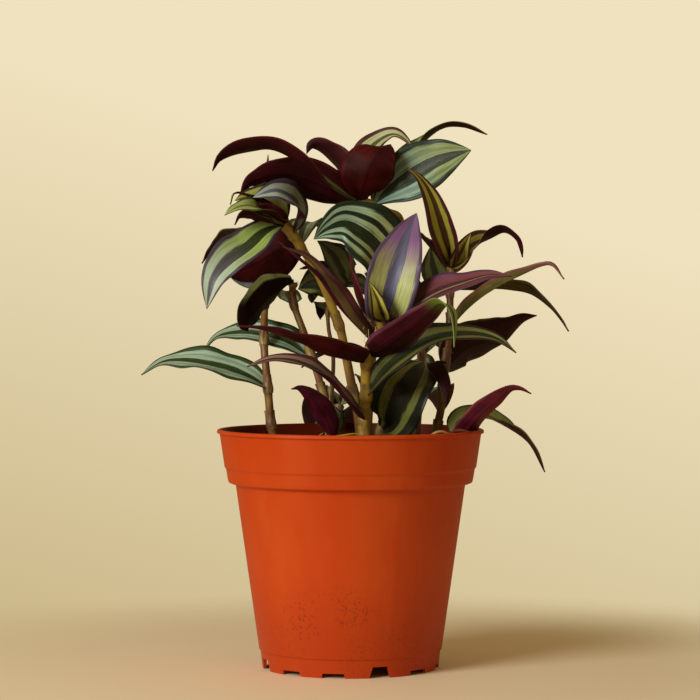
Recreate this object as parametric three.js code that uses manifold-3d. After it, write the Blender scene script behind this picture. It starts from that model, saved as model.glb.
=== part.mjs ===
// A tradescantia in a round nursery pot of thin plastic.
// Millimetres, +Z up, the pot's foot on z = 0 and its axis on the Z axis.
// Seen from the front the plant is looked at along +Y, with +X to the right.
import * as THREE from "three";
import { mergeVertices } from "three/addons/utils/BufferGeometryUtils.js";
import Module from "manifold-3d";

const wasm = await Module();
wasm.setup();

// Driving dimensions of the pot
const potHeight = 107;
const lipRadius = 60;
const lipThickness = 1.6;
const wall = 1.2;
const collarTopRadius = 58.8;
const collarStepHeight = 90.2;
const collarStepRadius = 56.6;
const collarBottomHeight = 84.8;
const collarBottomRadius = 55.2;
const bodyTopHeight = 82.1;
const bodyTopRadius = 51.6;
const footHeight = 8;
const bodyFootRadius = 41.1;
const footTopRadius = 40.5;
const footRadius = 39.6;
const floorHeight = 5.4;
const potSides = 36;

// Notches in the foot, one every 30 degrees, and each third one is a tall drain notch
const notchCount = 12;
const firstNotchAngle = 19;
const tallNotch = { bottomWidth: 10.4, topWidth: 6.8, height: 5 };
const lowNotch = { bottomWidth: 10.8, topWidth: 9.6, height: 2.1 };
const drainHoles = 6;
const drainHoleRadius = 3.5;
const drainHoleCircle = 26;

// Soil
const soilGap = 0.4;
const soilEdgeHeight = 96.2;
const soilRise = 1.8;
const lumpHeight = 0.9;
const lumpLength = 5;
const lumpWidth = 6;
const holeBottom = 70;
const holeLength = 60;
const holeClearance = 0.7;

// Stems and leaves
const stemSides = 6;
const stemSteps = 6;
const closestRings = 1.6;
const stemRadius = 2;
const stemTipShare = 0.75;
const jointSwelling = 0.24;
const jointHalfLength = 2.2;
const rootBottom = 72;
const bladeThickness = 0.9;
const bladeRows = 6;
const clasp = 1.5;
const tipHalfWidth = 0.45;
const narrowBlade = 16;

// A blade is folded more near its base, by this share, and its edges ripple this many radians along it
const baseFold = 0.8;
const baseFoldFade = 6;
const foldPower = 1.4;
const rippleTurns = 14;
const rippleShift = 1.3;

// Leaves of the stems at the back: how far they reach, rise and hang, as shares of a leaf's length
const backReach = 0.92;
const backRise = 0.7;
const backDroop = 0.78;
const backWidth = 18;
const backLean = 22;

const radians = THREE.MathUtils.degToRad;
const leafColour = 0x3d4a2c;

function solidOf(geometry) {
  // Only positions are kept, so that vertices on a seam join
  geometry.deleteAttribute("normal");
  geometry.deleteAttribute("uv");
  const merged = mergeVertices(geometry, 1e-4);
  const place = merged.attributes.position;
  const corner = [new THREE.Vector3(), new THREE.Vector3(), new THREE.Vector3()];
  const triangles = [];
  let volume = 0;
  for (let i = 0; i < merged.index.count; i += 3) {
    const [a, b, c] = [0, 1, 2].map((k) => merged.index.getX(i + k));
    if (a === b || b === c || c === a) continue;
    triangles.push(a, b, c);
    [a, b, c].forEach((v, k) => corner[k].fromBufferAttribute(place, v));
    volume += corner[0].dot(corner[1].clone().cross(corner[2]));
  }
  if (volume < 0) triangles.reverse();
  const mesh = new wasm.Mesh({
    numProp: 3,
    vertProperties: new Float32Array(place.array),
    triVerts: new Uint32Array(triangles),
  });
  return new wasm.Manifold(mesh);
}

function meshOf(name, solid, material) {
  const { vertProperties, triVerts } = solid.getMesh();
  const geometry = new THREE.BufferGeometry();
  geometry.setAttribute("position", new THREE.BufferAttribute(new Float32Array(vertProperties), 3));
  geometry.setIndex(new THREE.BufferAttribute(new Uint32Array(triVerts), 1));
  geometry.computeVertexNormals();
  const mesh = new THREE.Mesh(geometry, material);
  mesh.name = name;
  return mesh;
}

function turned(profile) {
  // A profile of [radius, height] pairs that starts and ends on the axis
  const points = profile.map(([r, z]) => new THREE.Vector2(r, z));
  return new THREE.LatheGeometry(points, potSides).rotateX(Math.PI / 2);
}

// Heights and inner radii of the wall, from the floor up to the mouth
const innerWall = [
  [footTopRadius - wall, floorHeight + wall],
  [bodyTopRadius - wall, bodyTopHeight + 0.2],
  [collarBottomRadius - wall, collarBottomHeight + 0.6],
  [collarStepRadius - 0.7 - wall, collarStepHeight - 1],
  [collarStepRadius - wall, collarStepHeight],
  [collarTopRadius - wall, potHeight - lipThickness],
];

function innerRadius(height) {
  const upper = innerWall.findIndex(([, z]) => z > height);
  const [r0, z0] = innerWall[upper - 1];
  const [r1, z1] = innerWall[upper];
  return r0 + ((r1 - r0) * (height - z0)) / (z1 - z0);
}

function makePot() {
  const lipBottom = potHeight - lipThickness;
  const outside = [
    [0, floorHeight],
    [footRadius - wall, floorHeight],
    [footRadius - wall, 0],
    [footRadius, 0],
    [footTopRadius, footHeight],
    [bodyFootRadius, footHeight + 0.4],
    [bodyTopRadius, bodyTopHeight],
    [collarBottomRadius - 0.4, collarBottomHeight - 1.5],
    [collarBottomRadius, collarBottomHeight],
    [collarStepRadius - 0.7, collarStepHeight - 1],
    [collarStepRadius, collarStepHeight],
    [collarTopRadius, lipBottom - 0.3],
    [lipRadius, lipBottom],
    [lipRadius, potHeight - 0.5],
    [lipRadius - 0.6, potHeight],
    [collarTopRadius - wall + 0.4, potHeight],
  ];
  const inside = [...innerWall].reverse();
  let pot = solidOf(turned([...outside, ...inside, [0, floorHeight + wall]]));
  for (let k = 0; k < notchCount; k += 1) {
    const tall = k % 3 === 0;
    pot = pot.subtract(makeNotch(tall ? tallNotch : lowNotch, firstNotchAngle + (k * 360) / notchCount));
  }
  for (let k = 0; k < drainHoles; k += 1) {
    const angle = (k * 2 * Math.PI) / drainHoles;
    const drill = new THREE.CylinderGeometry(drainHoleRadius, drainHoleRadius, 6, 12);
    drill.rotateX(Math.PI / 2);
    drill.translate(drainHoleCircle * Math.cos(angle), drainHoleCircle * Math.sin(angle), floorHeight);
    pot = pot.subtract(solidOf(drill));
  }
  return pot;
}

function makeNotch({ bottomWidth, topWidth, height }, degrees) {
  // A trapezium that stands on the table, pushed through the foot at an angle from the front
  const outline = new THREE.Shape([
    new THREE.Vector2(-bottomWidth / 2, -1),
    new THREE.Vector2(bottomWidth / 2, -1),
    new THREE.Vector2(topWidth / 2, height),
    new THREE.Vector2(-topWidth / 2, height),
  ]);
  const cutter = new THREE.ExtrudeGeometry(outline, { depth: 8, bevelEnabled: false });
  cutter.rotateX(Math.PI / 2);
  cutter.translate(0, -footRadius + 5, 0);
  cutter.rotateZ(radians(degrees));
  return solidOf(cutter);
}

function makeSoil(stems) {
  const bottom = floorHeight + wall + soilGap;
  const side = innerWall
    .filter(([, z]) => z > bottom && z < soilEdgeHeight)
    .map(([r, z]) => [r - soilGap, z]);
  const top = [0.8, 0.55, 0.28].map((share) => [
    innerRadius(soilEdgeHeight) * share,
    soilEdgeHeight + soilRise * (1 - share) + (share === 0.55 ? 0.8 : 0),
  ]);
  const profile = [
    [0, bottom],
    [innerRadius(bottom) - soilGap, bottom],
    ...side,
    [innerRadius(soilEdgeHeight) - soilGap, soilEdgeHeight],
    ...top,
    [0, soilEdgeHeight + soilRise],
  ];
  const geometry = turned(profile);
  const place = geometry.attributes.position;
  for (let i = 0; i < place.count; i += 1) {
    // Low lumps on the surface, the same on both sides of the seam
    const [x, y, z] = [place.getX(i), place.getY(i), place.getZ(i)];
    const lump = lumpHeight * Math.sin(x / lumpLength) * Math.cos(y / lumpWidth);
    if (z > soilEdgeHeight + 0.1) place.setZ(i, z + lump);
  }
  let soil = solidOf(geometry);
  for (const { curve, radius } of stems) {
    const root = curve.getPoint(0);
    const hole = new THREE.CylinderGeometry(radius + holeClearance, radius + holeClearance, holeLength, 8);
    hole.rotateX(Math.PI / 2);
    hole.translate(root.x, root.y, holeBottom + holeLength / 2);
    soil = soil.subtract(solidOf(hole));
  }
  return soil;
}

function curveThrough(points) {
  const places = points.map(([x, y, z]) => new THREE.Vector3(x, y, z));
  return new THREE.CatmullRomCurve3(places, false, "catmullrom", 0.5);
}

function bladeShape(t, widest, plump) {
  // From 0 at the base through 1 at the widest place to 0 at the drawn-out tip, and rounder for a small plump
  const power = Math.log(0.5) / Math.log(widest);
  return Math.sin(Math.PI * t ** power) ** plump;
}

function makeBlade(leaf, base) {
  // The leaf's grid of vertices starts flat and is bent onto its midrib, then gets a lower face and a rim
  const { points, width, roll = [0, 0], fold = 16, wave = 0.04, widest = 0.38, plump = 0.95 } = leaf;
  const columns = width < narrowBlade ? 2 : 4;
  const rib = curveThrough([base.toArray(), ...points]);
  const end = points[points.length - 1];
  const towardsTip = Math.atan2(end[1] - base.y, end[0] - base.x);
  const heading = leaf.heading === undefined ? towardsTip : radians(leaf.heading);
  const flat = new THREE.PlaneGeometry(2, 1, columns, bladeRows);
  const place = flat.attributes.position;
  const upper = [];
  const lower = [];
  for (let i = 0; i < place.count; i += 1) {
    const v = place.getX(i);
    const t = 0.5 - place.getY(i);
    const along = rib.getTangentAt(t);
    const side = new THREE.Vector3(-Math.sin(heading), Math.cos(heading), 0);
    side.addScaledVector(along, -side.dot(along)).normalize();
    side.applyAxisAngle(along, radians(roll[0] + (roll[1] - roll[0]) * t));
    const up = along.clone().cross(side);
    const half = Math.max((width / 2) * bladeShape(t, widest, plump), clasp * (1 - 3 * t), tipHalfWidth);
    const bend = radians(fold) * (1 + baseFold * Math.exp(-baseFoldFade * t));
    const swing = Math.sin(rippleTurns * t + (v > 0 ? rippleShift : 0));
    const ripple = wave * width * swing * v * v * Math.sin(Math.PI * t);
    const lift = half * Math.sin(bend) * Math.abs(v) ** foldPower + ripple;
    const point = rib.getPointAt(t).addScaledVector(side, v * half * Math.cos(bend));
    point.addScaledVector(up, lift);
    const face = up.multiplyScalar(Math.cos(bend * Math.abs(v))).addScaledVector(side, -Math.sin(bend * v));
    upper.push(...point.clone().addScaledVector(face, bladeThickness / 2).toArray());
    lower.push(...point.addScaledVector(face, -bladeThickness / 2).toArray());
  }
  const count = place.count;
  const triangles = [];
  const grid = flat.index.array;
  for (let i = 0; i < grid.length; i += 3) {
    triangles.push(grid[i], grid[i + 1], grid[i + 2]);
    triangles.push(grid[i] + count, grid[i + 2] + count, grid[i + 1] + count);
  }
  const rim = rimOf(columns, bladeRows);
  rim.forEach((a, k) => {
    const b = rim[(k + 1) % rim.length];
    triangles.push(b, a, a + count, b, a + count, b + count);
  });
  const geometry = new THREE.BufferGeometry();
  geometry.setAttribute("position", new THREE.BufferAttribute(new Float32Array([...upper, ...lower]), 3));
  geometry.setIndex(triangles);
  return solidOf(geometry);
}

function rimOf(columns, rows) {
  // The grid's outer vertices in order: down the left side, along the end, up the right side and back
  const wide = columns + 1;
  const rim = [];
  for (let row = 0; row < rows; row += 1) rim.push(row * wide);
  for (let column = 0; column < columns; column += 1) rim.push(rows * wide + column);
  for (let row = rows; row > 0; row -= 1) rim.push(row * wide + columns);
  for (let column = columns; column > 0; column -= 1) rim.push(column);
  return rim;
}

function makeStem({ curve, radius }, joints) {
  // Rings close together at each swollen joint, and further apart between them
  const length = curve.getLength();
  const reach = jointHalfLength / length;
  const stations = new Set([0, 1]);
  for (let k = 1; k < stemSteps; k += 1) stations.add(k / stemSteps);
  joints.forEach((joint) => [-reach, 0, reach].forEach((step) => stations.add(joint + step)));
  const rings = [...stations].filter((s) => s >= 0 && s <= 1).sort((a, b) => a - b);
  const spaced = rings.filter((s, k) => k === 0 || s === 1 || s - rings[k - 1] > closestRings / length);
  const geometry = new THREE.CylinderGeometry(1, 1, 1, stemSides, spaced.length - 1);
  const place = geometry.attributes.position;
  for (let i = 0; i < place.count; i += 1) {
    const ring = Math.round((0.5 + place.getY(i)) * (spaced.length - 1));
    const t = spaced[ring];
    const along = curve.getTangentAt(t);
    const side = new THREE.Vector3(0, 1, 0);
    side.addScaledVector(along, -side.dot(along)).normalize();
    const other = along.clone().cross(side);
    const near = Math.max(0, ...joints.map((joint) => 1 - Math.abs(joint - t) / reach));
    const size = radius * (1 - (1 - stemTipShare) * t) * (1 + jointSwelling * near);
    const point = curve.getPointAt(t).addScaledVector(side, place.getX(i) * size);
    point.addScaledVector(other, place.getZ(i) * size);
    place.setXYZ(i, point.x, point.y, point.z);
  }
  return solidOf(geometry);
}

function makeShoot({ name, stem, radius = stemRadius, joints = [], leaves }) {
  const [x, y] = stem[0];
  const path = curveThrough([[x, y, rootBottom], [x, y, (rootBottom + soilEdgeHeight) / 2], ...stem]);
  const stalk = { curve: path, radius };
  const nodes = [...new Set([...joints, ...leaves.map((leaf) => leaf.at)])];
  let solid = makeStem(stalk, nodes);
  for (const leaf of leaves) solid = solid.add(makeBlade(leaf, path.getPointAt(leaf.at)));
  const green = new THREE.MeshStandardMaterial({ color: leafColour, roughness: 0.42, metalness: 0 });
  return { stalk, mesh: meshOf(name, solid, green) };
}

function seededRandom(seed) {
  let state = seed;
  return () => {
    state = (state * 16807) % 2147483647;
    return state / 2147483647;
  };
}

function leaf(at, width, shape, ...points) {
  return { at, width, points, ...shape };
}

function backShoot({ name, stem, leafCount, firstLeaf, heading, spread, leafLength, seed }) {
  // Leaves stand by turns to the left and to the right of the heading, rise and hang, no two of them alike
  const random = seededRandom(seed);
  const around = (middle, share) => middle * (1 + share * (2 * random() - 1));
  const [x, y] = stem[0];
  const path = curveThrough([[x, y, rootBottom], [x, y, (rootBottom + soilEdgeHeight) / 2], ...stem]);
  const leaves = [];
  for (let k = 0; k < leafCount; k += 1) {
    const at = firstLeaf + ((1 - firstLeaf) * k) / (leafCount - 1);
    const base = path.getPointAt(at);
    const turn = radians(heading + (k % 2 ? 1 : -1) * around(spread, 0.55));
    const length = around(leafLength, 0.2);
    const [rise, droop, curl] = [around(backRise, 0.35), around(backDroop, 0.35), random() - 0.5];
    const points = [0.3, 0.6, 0.83, 1].map((share) => [
      base.x + length * backReach * share * Math.cos(turn + curl * share * share),
      base.y + length * backReach * share * Math.sin(turn + curl * share * share),
      base.z + length * (rise * share - droop * share * share),
    ]);
    const lean = 2 * backLean * (random() - 0.5);
    leaves.push(leaf(at, around(backWidth, 0.22), { roll: [lean, 1.6 * lean], wave: 0.06 }, ...points));
  }
  return { name, stem, leaves };
}

// The leafy stems, each with its points from the soil to its top. A leaf has its share of the stem's length,
// its width, its shape and the points from just past its base to its tip. Roll turns it about its midrib.
const leafyStems = [
  {
    name: "shoot_left",
    stem: [
      [-34, 6, 97], [-36, 6, 110], [-37, 6, 122], [-39, 8, 144],
      [-39, 18, 165], [-38, 25, 188], [-37, 29, 204],
    ],
    joints: [0.27, 0.55],
    leaves: [
      leaf(0.39, 19, { roll: [-35, -35], wave: 0.07 },
        [-45, 4, 130], [-56, 5, 134], [-70, 8, 137], [-84, 11, 137], [-95, 12, 131]),
      leaf(1, 6, { heading: 90, fold: 50 }, [-37, 30, 214], [-38, 31, 224], [-38, 31, 232]),
      leaf(0.91, 16, { roll: [0, -10] }, [-49, 30, 196], [-60, 36, 193], [-69, 38, 182]),
      leaf(0.69, 20, {}, [-41, 28, 173], [-44, 44, 178], [-48, 60, 172]),
    ],
  },
  {
    name: "shoot_left_middle",
    stem: [[-8, 6, 97], [-10, 6, 110], [-13, 6, 125], [-21, 8, 150], [-26, 10, 164], [-26, 10, 173]],
    joints: [0.3, 0.48],
    leaves: [
      leaf(0.65, 17, { roll: [-42, -38] },
        [-28, 14, 146], [-39, 20, 149], [-50, 24, 150], [-61, 26, 148], [-68, 27, 141]),
      leaf(1, 23, { roll: [48, 74], widest: 0.6, plump: 0.65 },
        [-29, 4, 172], [-36, -3, 167], [-42, -7, 161], [-46, -9, 155], [-46, -9, 151]),
      leaf(0.9, 12, { roll: [0, 14] }, [-28, 22, 165], [-30, 33, 169], [-30, 44, 165]),
    ],
  },
  {
    name: "shoot_left_high",
    stem: [
      [5, 16, 97], [3, 14, 115], [0, 12, 129], [-5, 8, 153],
      [-14, 2, 175], [-23, -4, 190], [-30, -8, 200],
    ],
    radius: 2.3,
    joints: [0.35, 0.6],
    leaves: [
      leaf(0.99, 19, { roll: [-42, -46], widest: 0.46 },
        [-38, -15, 195], [-46, -21, 188], [-54, -26, 182], [-60, -29, 174], [-63, -29, 161]),
      leaf(0.99, 21, { roll: [-66, -66] },
        [-35, -13, 206], [-41, -17, 208.5], [-46, -19, 209.5], [-51, -21, 209]),
      leaf(0.95, 18, { roll: [-55, -60] },
        [-23, -9, 205], [-26, -15, 210], [-32, -20, 213], [-38, -22, 212], [-43, -22, 210]),
      leaf(0.99, 15, { roll: [-15, -35], wave: 0.09 },
        [-37, -19, 203], [-44, -26, 206], [-50, -30, 205], [-55, -32, 202]),
      leaf(0.97, 13, { roll: [45, 40] }, [-35, -14, 201], [-42, -19, 203], [-48, -22, 202], [-51, -23, 198]),
      leaf(0.94, 30, { roll: [64, 62], widest: 0.6, plump: 0.7 },
        [-29, 4, 190], [-37, 7, 185], [-46, 8, 180], [-55, 7, 176]),
      leaf(0.9, 15, {}, [-21, 8, 198], [-16, 20, 200], [-11, 30, 196]),
    ],
  },
  {
    name: "shoot_thin",
    stem: [
      [-9, 16, 97], [-9, 16, 110], [-9, 16, 121], [-8, 17, 131], [-8, 18, 142],
      [-10, 19, 152], [-10, 20, 163], [-7, 20, 169], [-2, 20, 173],
    ],
    radius: 1.1,
    joints: [0.45],
    leaves: [
      leaf(0.9, 23, { roll: [-66, -66] }, [-11, 22, 171], [-17, 24, 172], [-24, 25, 170]),
      leaf(0.84, 13, { roll: [-20, -20] }, [-11, 25, 164], [-13, 27, 160], [-14, 27, 156]),
      leaf(1, 20, { roll: [-60, -60] }, [-4, 18, 177], [-6, 18, 181], [-10, 16, 187], [-15, 15, 192]),
      leaf(0.97, 15, { roll: [30, 30] }, [3, 22, 172], [8, 24, 168], [12, 25, 162]),
    ],
  },
  {
    name: "shoot_front",
    stem: [[6, -14, 97], [6, -15, 111], [7, -16, 123], [7, -19, 137], [10, -23, 146], [15, -27, 157]],
    radius: 2.7,
    joints: [0.35],
    leaves: [
      leaf(0.44, 17, { roll: [-25, -25] },
        [-2, -24, 121], [-10, -30, 130], [-21, -34, 137], [-33, -36, 139], [-45, -38, 136]),
      leaf(0.57, 19, { roll: [55, 25] },
        [15, -24, 133], [24, -30, 141], [37, -34, 148], [51, -36, 150], [63, -38, 148], [72, -40, 142]),
      leaf(0.74, 15, { roll: [24, 24], widest: 0.2 },
        [-1, -32, 140], [-11, -46, 144], [-22, -58, 148], [-33, -66, 152], [-48, -72, 154]),
      leaf(0.77, 17, { roll: [-35, -20], widest: 0.25 },
        [15, -32, 144], [24, -48, 151], [32, -61, 158], [38, -69, 163.5],
        [42.5, -74, 160], [43.5, -76, 152], [43.5, -76, 145]),
      leaf(0.86, 14, { roll: [-10, -10], fold: 40 },
        [1, -32, 156], [-6, -38, 166], [-12, -42, 175], [-19, -44, 183], [-29, -46, 188]),
      leaf(0.96, 19, { roll: [48, 40] },
        [26, -35, 161], [38, -44, 168], [49, -50, 172], [59, -54, 175], [69, -56, 175]),
      leaf(1, 25, { heading: 90, fold: 22, plump: 0.85 },
        [16, -37, 164], [19, -39, 176], [23, -36, 188], [26, -31, 196], [29, -27, 203]),
      leaf(1, 11, { heading: 90, fold: 40 }, [13, -39, 162], [11, -43, 167], [8, -45, 173]),
      leaf(1, 14, { roll: [55, 30] },
        [7, -24, 159], [3, -20, 166], [1, -16, 175], [0, -12, 183], [-2, -10, 190]),
    ],
  },
  {
    name: "shoot_middle",
    stem: [[12, 4, 97], [15, 4, 111], [19, 2, 133], [21, -2, 151], [20, -8, 169]],
    joints: [0.6],
    leaves: [
      leaf(1, 34, { roll: [-80, -80], widest: 0.4 },
        [16, -14, 180], [12, -19, 187.5], [5, -23, 194],
        [-3, -26, 198], [-11, -29, 195.5], [-16, -31, 191.5]),
      leaf(0.34, 30, { roll: [68, 60], widest: 0.5, plump: 0.75 },
        [18, -4, 109], [21, -9, 117], [25, -10, 126], [30, -4, 133], [33, 4, 137]),
    ],
  },
  {
    name: "shoot_top",
    stem: [
      [21, 22, 97], [24, 24, 123], [24, 28, 156], [24, 29, 181],
      [23, 16, 201], [17, 9, 205], [10, 4, 208], [3, 1, 209],
    ],
    joints: [0.25, 0.45, 0.65],
    leaves: [
      leaf(1, 15, { roll: [-72, 66], widest: 0.58 },
        [-5, -11, 213], [-13, -19, 218.5], [-22, -26, 225], [-34, -31, 231.5],
        [-47, -34, 231], [-56, -36, 227], [-60, -37, 221]),
      leaf(1, 20, { roll: [58, 64], widest: 0.36, plump: 0.88 },
        [-6, -3, 213], [-15, -6, 217], [-24, -9, 220], [-34, -11, 221],
        [-41, -12, 219], [-45, -13, 217], [-49, -14, 212]),
      leaf(0.99, 17, { roll: [62, 62] },
        [-2, 10, 220], [-5, 13, 227], [-9, 15, 232], [-14, 16, 235.5], [-18, 16, 235.5], [-20, 16, 231.5]),
      leaf(0.99, 25, { heading: -90, widest: 0.5, plump: 0.65 },
        [5, -4, 213], [7, -8, 220], [10, -9, 227], [14, -7, 232], [18, -3, 234.5]),
      leaf(0.97, 15, { roll: [50, 40] },
        [5, 13, 222], [8, 16, 232], [14, 17, 238], [20, 14, 240], [25, 9, 237], [28, 5, 233]),
      leaf(0.95, 26, { roll: [78, 78], widest: 0.5, plump: 0.88 },
        [19, 2, 215], [30, 0, 222], [41, -2, 228], [54, -4, 232]),
      leaf(0.95, 17, { roll: [42, -28] },
        [20, 14, 224], [31, 17, 235], [41, 17, 243], [51, 15, 244], [62, 11, 240]),
    ],
  },
  {
    name: "shoot_right",
    stem: [[38, 4, 97], [39, 4, 106], [41, 4, 117], [42, 4, 131], [45, 5, 153], [45, 7, 169], [46, 8, 180]],
    joints: [0.3, 0.45],
    leaves: [
      leaf(1, 16, { heading: 90, fold: 42 },
        [44, -1, 189], [41, -6, 198], [38, -11, 207], [34, -15, 215], [30, -18, 220], [25, -19, 223]),
      leaf(1, 18, { roll: [85, -60], widest: 0.34 },
        [51, 3, 184], [55, 2, 189], [63, 0, 193], [69, -2, 195.5],
        [74, -4, 192.5], [76, -5, 188], [77, -5, 184]),
      leaf(1, 11, { heading: 90, fold: 34 }, [49, 0, 186], [51, -3, 190], [54, -4, 195]),
      leaf(0.98, 16, { roll: [40, 40] }, [40, 16, 185], [35, 21, 191], [30, 24, 197]),
      leaf(0.89, 18, {}, [41, 20, 172], [38, 28, 180], [37, 34, 190]),
      leaf(0.91, 15, { roll: [-24, -20] },
        [54, 6, 170], [63, 4, 171], [72, 2, 170], [81, 0, 168], [89, -6, 162], [94, -9, 156], [97, -13, 151]),
      leaf(0.75, 9, { fold: 52 },
        [52, -3, 161], [59, -9, 167], [67, -13, 172], [75, -18, 176],
        [84, -22, 180], [89, -24, 180], [94, -25, 174]),
      leaf(0.57, 25, { roll: [-60, -55], widest: 0.3 },
        [52, 9, 143], [61, 13, 146], [70, 15, 151], [78, 16, 156], [85, 17, 158]),
      leaf(0.6, 8, { heading: 90, plump: 0.7 },
        [38, -8, 137], [40, -15, 133], [42, -19, 127], [42.5, -20, 121], [42, -20, 117.5]),
    ],
  },
  {
    name: "shoot_right_low",
    stem: [[44, -7, 97], [46, -8, 106]],
    radius: 1.7,
    leaves: [
      leaf(0.99, 17, { roll: [38, -28], widest: 0.28 },
        [50, -6, 111], [59, -5, 113], [69, -5, 109], [80, -6, 101], [87, -7, 88]),
      leaf(0.7, 13, { roll: [-35, -35] },
        [51, -15, 106], [57, -19, 113.5], [63, -21, 119.5],
        [70, -21, 125], [75, -20, 125.5], [80, -19, 123.5]),
    ],
  },
  {
    name: "shoot_base_left",
    stem: [[-7, -21, 97], [-8, -22, 105]],
    radius: 1.5,
    leaves: [
      leaf(0.93, 11, { roll: [48, 48], widest: 0.42 },
        [-9.5, -25, 110], [-13, -28, 117], [-17, -30, 122.5], [-22, -31, 126], [-26, -31, 126]),
      leaf(0.99, 8, { heading: 90 }, [-6, -18, 111], [-8, -14, 119]),
    ],
  },
];

const backStems = [
  {
    name: "shoot_back_middle",
    stem: [[8, 34, 97], [9, 36, 120], [10, 38, 150], [9, 40, 178]],
    leafCount: 5,
    firstLeaf: 0.5,
    heading: 100,
    spread: 34,
    leafLength: 42,
    seed: 564,
  },
  {
    name: "shoot_back_right",
    stem: [[30, 32, 97], [32, 35, 118], [33, 38, 136], [33, 40, 149]],
    leafCount: 4,
    firstLeaf: 0.6,
    heading: 80,
    spread: 30,
    leafLength: 41,
    seed: 80,
  },
  {
    name: "shoot_back_low",
    stem: [[-8, 34, 97], [-7, 37, 108], [-5, 40, 116]],
    leafCount: 3,
    firstLeaf: 0.7,
    heading: 100,
    spread: 22,
    leafLength: 36,
    seed: 357,
  },
];

const clay = new THREE.MeshStandardMaterial({ color: 0xbe4414, roughness: 0.45, metalness: 0 });
const peat = new THREE.MeshStandardMaterial({ color: 0x2a1a10, roughness: 0.95, metalness: 0 });
const shoots = [...leafyStems, ...backStems.map(backShoot)].map(makeShoot);
const plant = new THREE.Group();
plant.add(meshOf("pot", makePot(), clay));
plant.add(meshOf("soil", makeSoil(shoots.map((shoot) => shoot.stalk)), peat));
shoots.forEach((shoot) => plant.add(shoot.mesh));
export default plant;
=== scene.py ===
import math
import random

import bmesh
import bpy
from mathutils import Matrix, Quaternion, Vector, noise


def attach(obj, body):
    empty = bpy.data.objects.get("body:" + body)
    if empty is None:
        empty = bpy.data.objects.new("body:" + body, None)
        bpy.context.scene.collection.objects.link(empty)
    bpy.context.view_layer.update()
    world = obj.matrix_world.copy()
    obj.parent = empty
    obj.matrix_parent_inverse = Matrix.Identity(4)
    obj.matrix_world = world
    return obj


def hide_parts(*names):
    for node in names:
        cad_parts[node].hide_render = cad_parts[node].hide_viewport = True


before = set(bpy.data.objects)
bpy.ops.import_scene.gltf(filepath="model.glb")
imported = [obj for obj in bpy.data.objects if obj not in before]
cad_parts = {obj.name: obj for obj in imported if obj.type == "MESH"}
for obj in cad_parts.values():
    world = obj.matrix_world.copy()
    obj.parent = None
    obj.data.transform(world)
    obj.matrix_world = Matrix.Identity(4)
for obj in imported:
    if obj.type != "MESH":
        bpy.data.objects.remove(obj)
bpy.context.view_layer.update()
mm = 0.001
print("frame loaded:", len(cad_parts), "solids")


# Small helpers

def fromScreen(red, green, blue):
    # A colour as it is read off a screen, 0 to 255, in the linear values that shaders take
    return tuple(
        part / 12.92 if part <= 0.04045 else ((part + 0.055) / 1.055) ** 2.4
        for part in (red / 255, green / 255, blue / 255)
    ) + (1.0,)


def mixed(first, second, share):
    return tuple(a + (b - a) * share for a, b in zip(first, second))


def eased(value, start, end):
    # 0 before start, 1 after end and smooth between them
    share = min(1.0, max(0.0, (value - start) / (end - start)))
    return share * share * (3 - 2 * share)


def newMaterial(name, sockets):
    made = bpy.data.materials.new(name)
    made.use_nodes = True
    shader = made.node_tree.nodes["Principled BSDF"]
    for socket, value in sockets.items():
        shader.inputs[socket].default_value = value
    return made, made.node_tree, shader


def addNode(tree, kind, inputs=None, **settings):
    node = tree.nodes.new("ShaderNode" + kind)
    for key, value in settings.items():
        setattr(node, key, value)
    for key, value in (inputs or {}).items():
        if isinstance(value, bpy.types.NodeSocket):
            tree.links.new(value, node.inputs[key])
        else:
            node.inputs[key].default_value = value
    return node


# These take sockets first and add their node to the tree that the first one is in

def reckon(operation, *values):
    return addNode(values[0].id_data, "Math", dict(enumerate(values)), operation=operation).outputs[0]


def times(first, second):
    return reckon("MULTIPLY", first, second)


def minus(first, second):
    return reckon("SUBTRACT", first, second)


def smoothStep(value, start, end, low=0.0, high=1.0):
    # Low before start, high after end and smooth between them
    inputs = {"Value": value, "From Min": start, "From Max": end, "To Min": low, "To Max": high}
    return addNode(value.id_data, "MapRange", inputs, interpolation_type="SMOOTHSTEP").outputs["Result"]


def spread(value, low, high):
    # A 0 to 1 value stretched to run from low to high
    inputs = {"Value": value, "To Min": low, "To Max": high}
    return addNode(value.id_data, "MapRange", inputs).outputs["Result"]


def blendColours(share, first, second):
    inputs = {0: share, 6: first, 7: second}
    return addNode(share.id_data, "Mix", inputs, data_type="RGBA").outputs[2]


def shaded(colour, share):
    return addNode(colour.id_data, "VectorMath", {0: colour, 3: share}, operation="SCALE").outputs[0]


def lengthOf(vector):
    return addNode(vector.id_data, "VectorMath", {0: vector}, operation="LENGTH").outputs["Value"]


def partsOf(vector):
    return addNode(vector.id_data, "SeparateXYZ", {0: vector}).outputs


def grain(place, scale, detail=3.0, roughness=0.5, stretch=(1, 1, 1)):
    # Noise on a place, drawn out along an axis where its stretch is small
    laid = addNode(place.id_data, "Mapping", {"Vector": place, "Scale": stretch}).outputs[0]
    inputs = {"Vector": laid, "Scale": scale, "Detail": detail, "Roughness": roughness}
    return addNode(place.id_data, "TexNoise", inputs).outputs["Fac"]


def patches(place, cut):
    # Noise cut into patches with soft edges, by its grain and the steps of a smoothStep
    grainValues, steps = cut
    return smoothStep(grain(place, *grainValues), *steps)


def objectPlace(tree):
    return addNode(tree, "TexCoord").outputs["Object"]


def readAttribute(tree, name, socket="Color"):
    return addNode(tree, "Attribute", attribute_name=name).outputs[socket]


def feed(shader, links):
    for socket, value in links.items():
        shader.id_data.links.new(value, shader.inputs[socket])


def addBump(shader, height, strength, distance):
    inputs = {"Height": height, "Strength": strength, "Distance": distance}
    feed(shader, {"Normal": addNode(shader.id_data, "Bump", inputs).outputs[0]})


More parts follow.
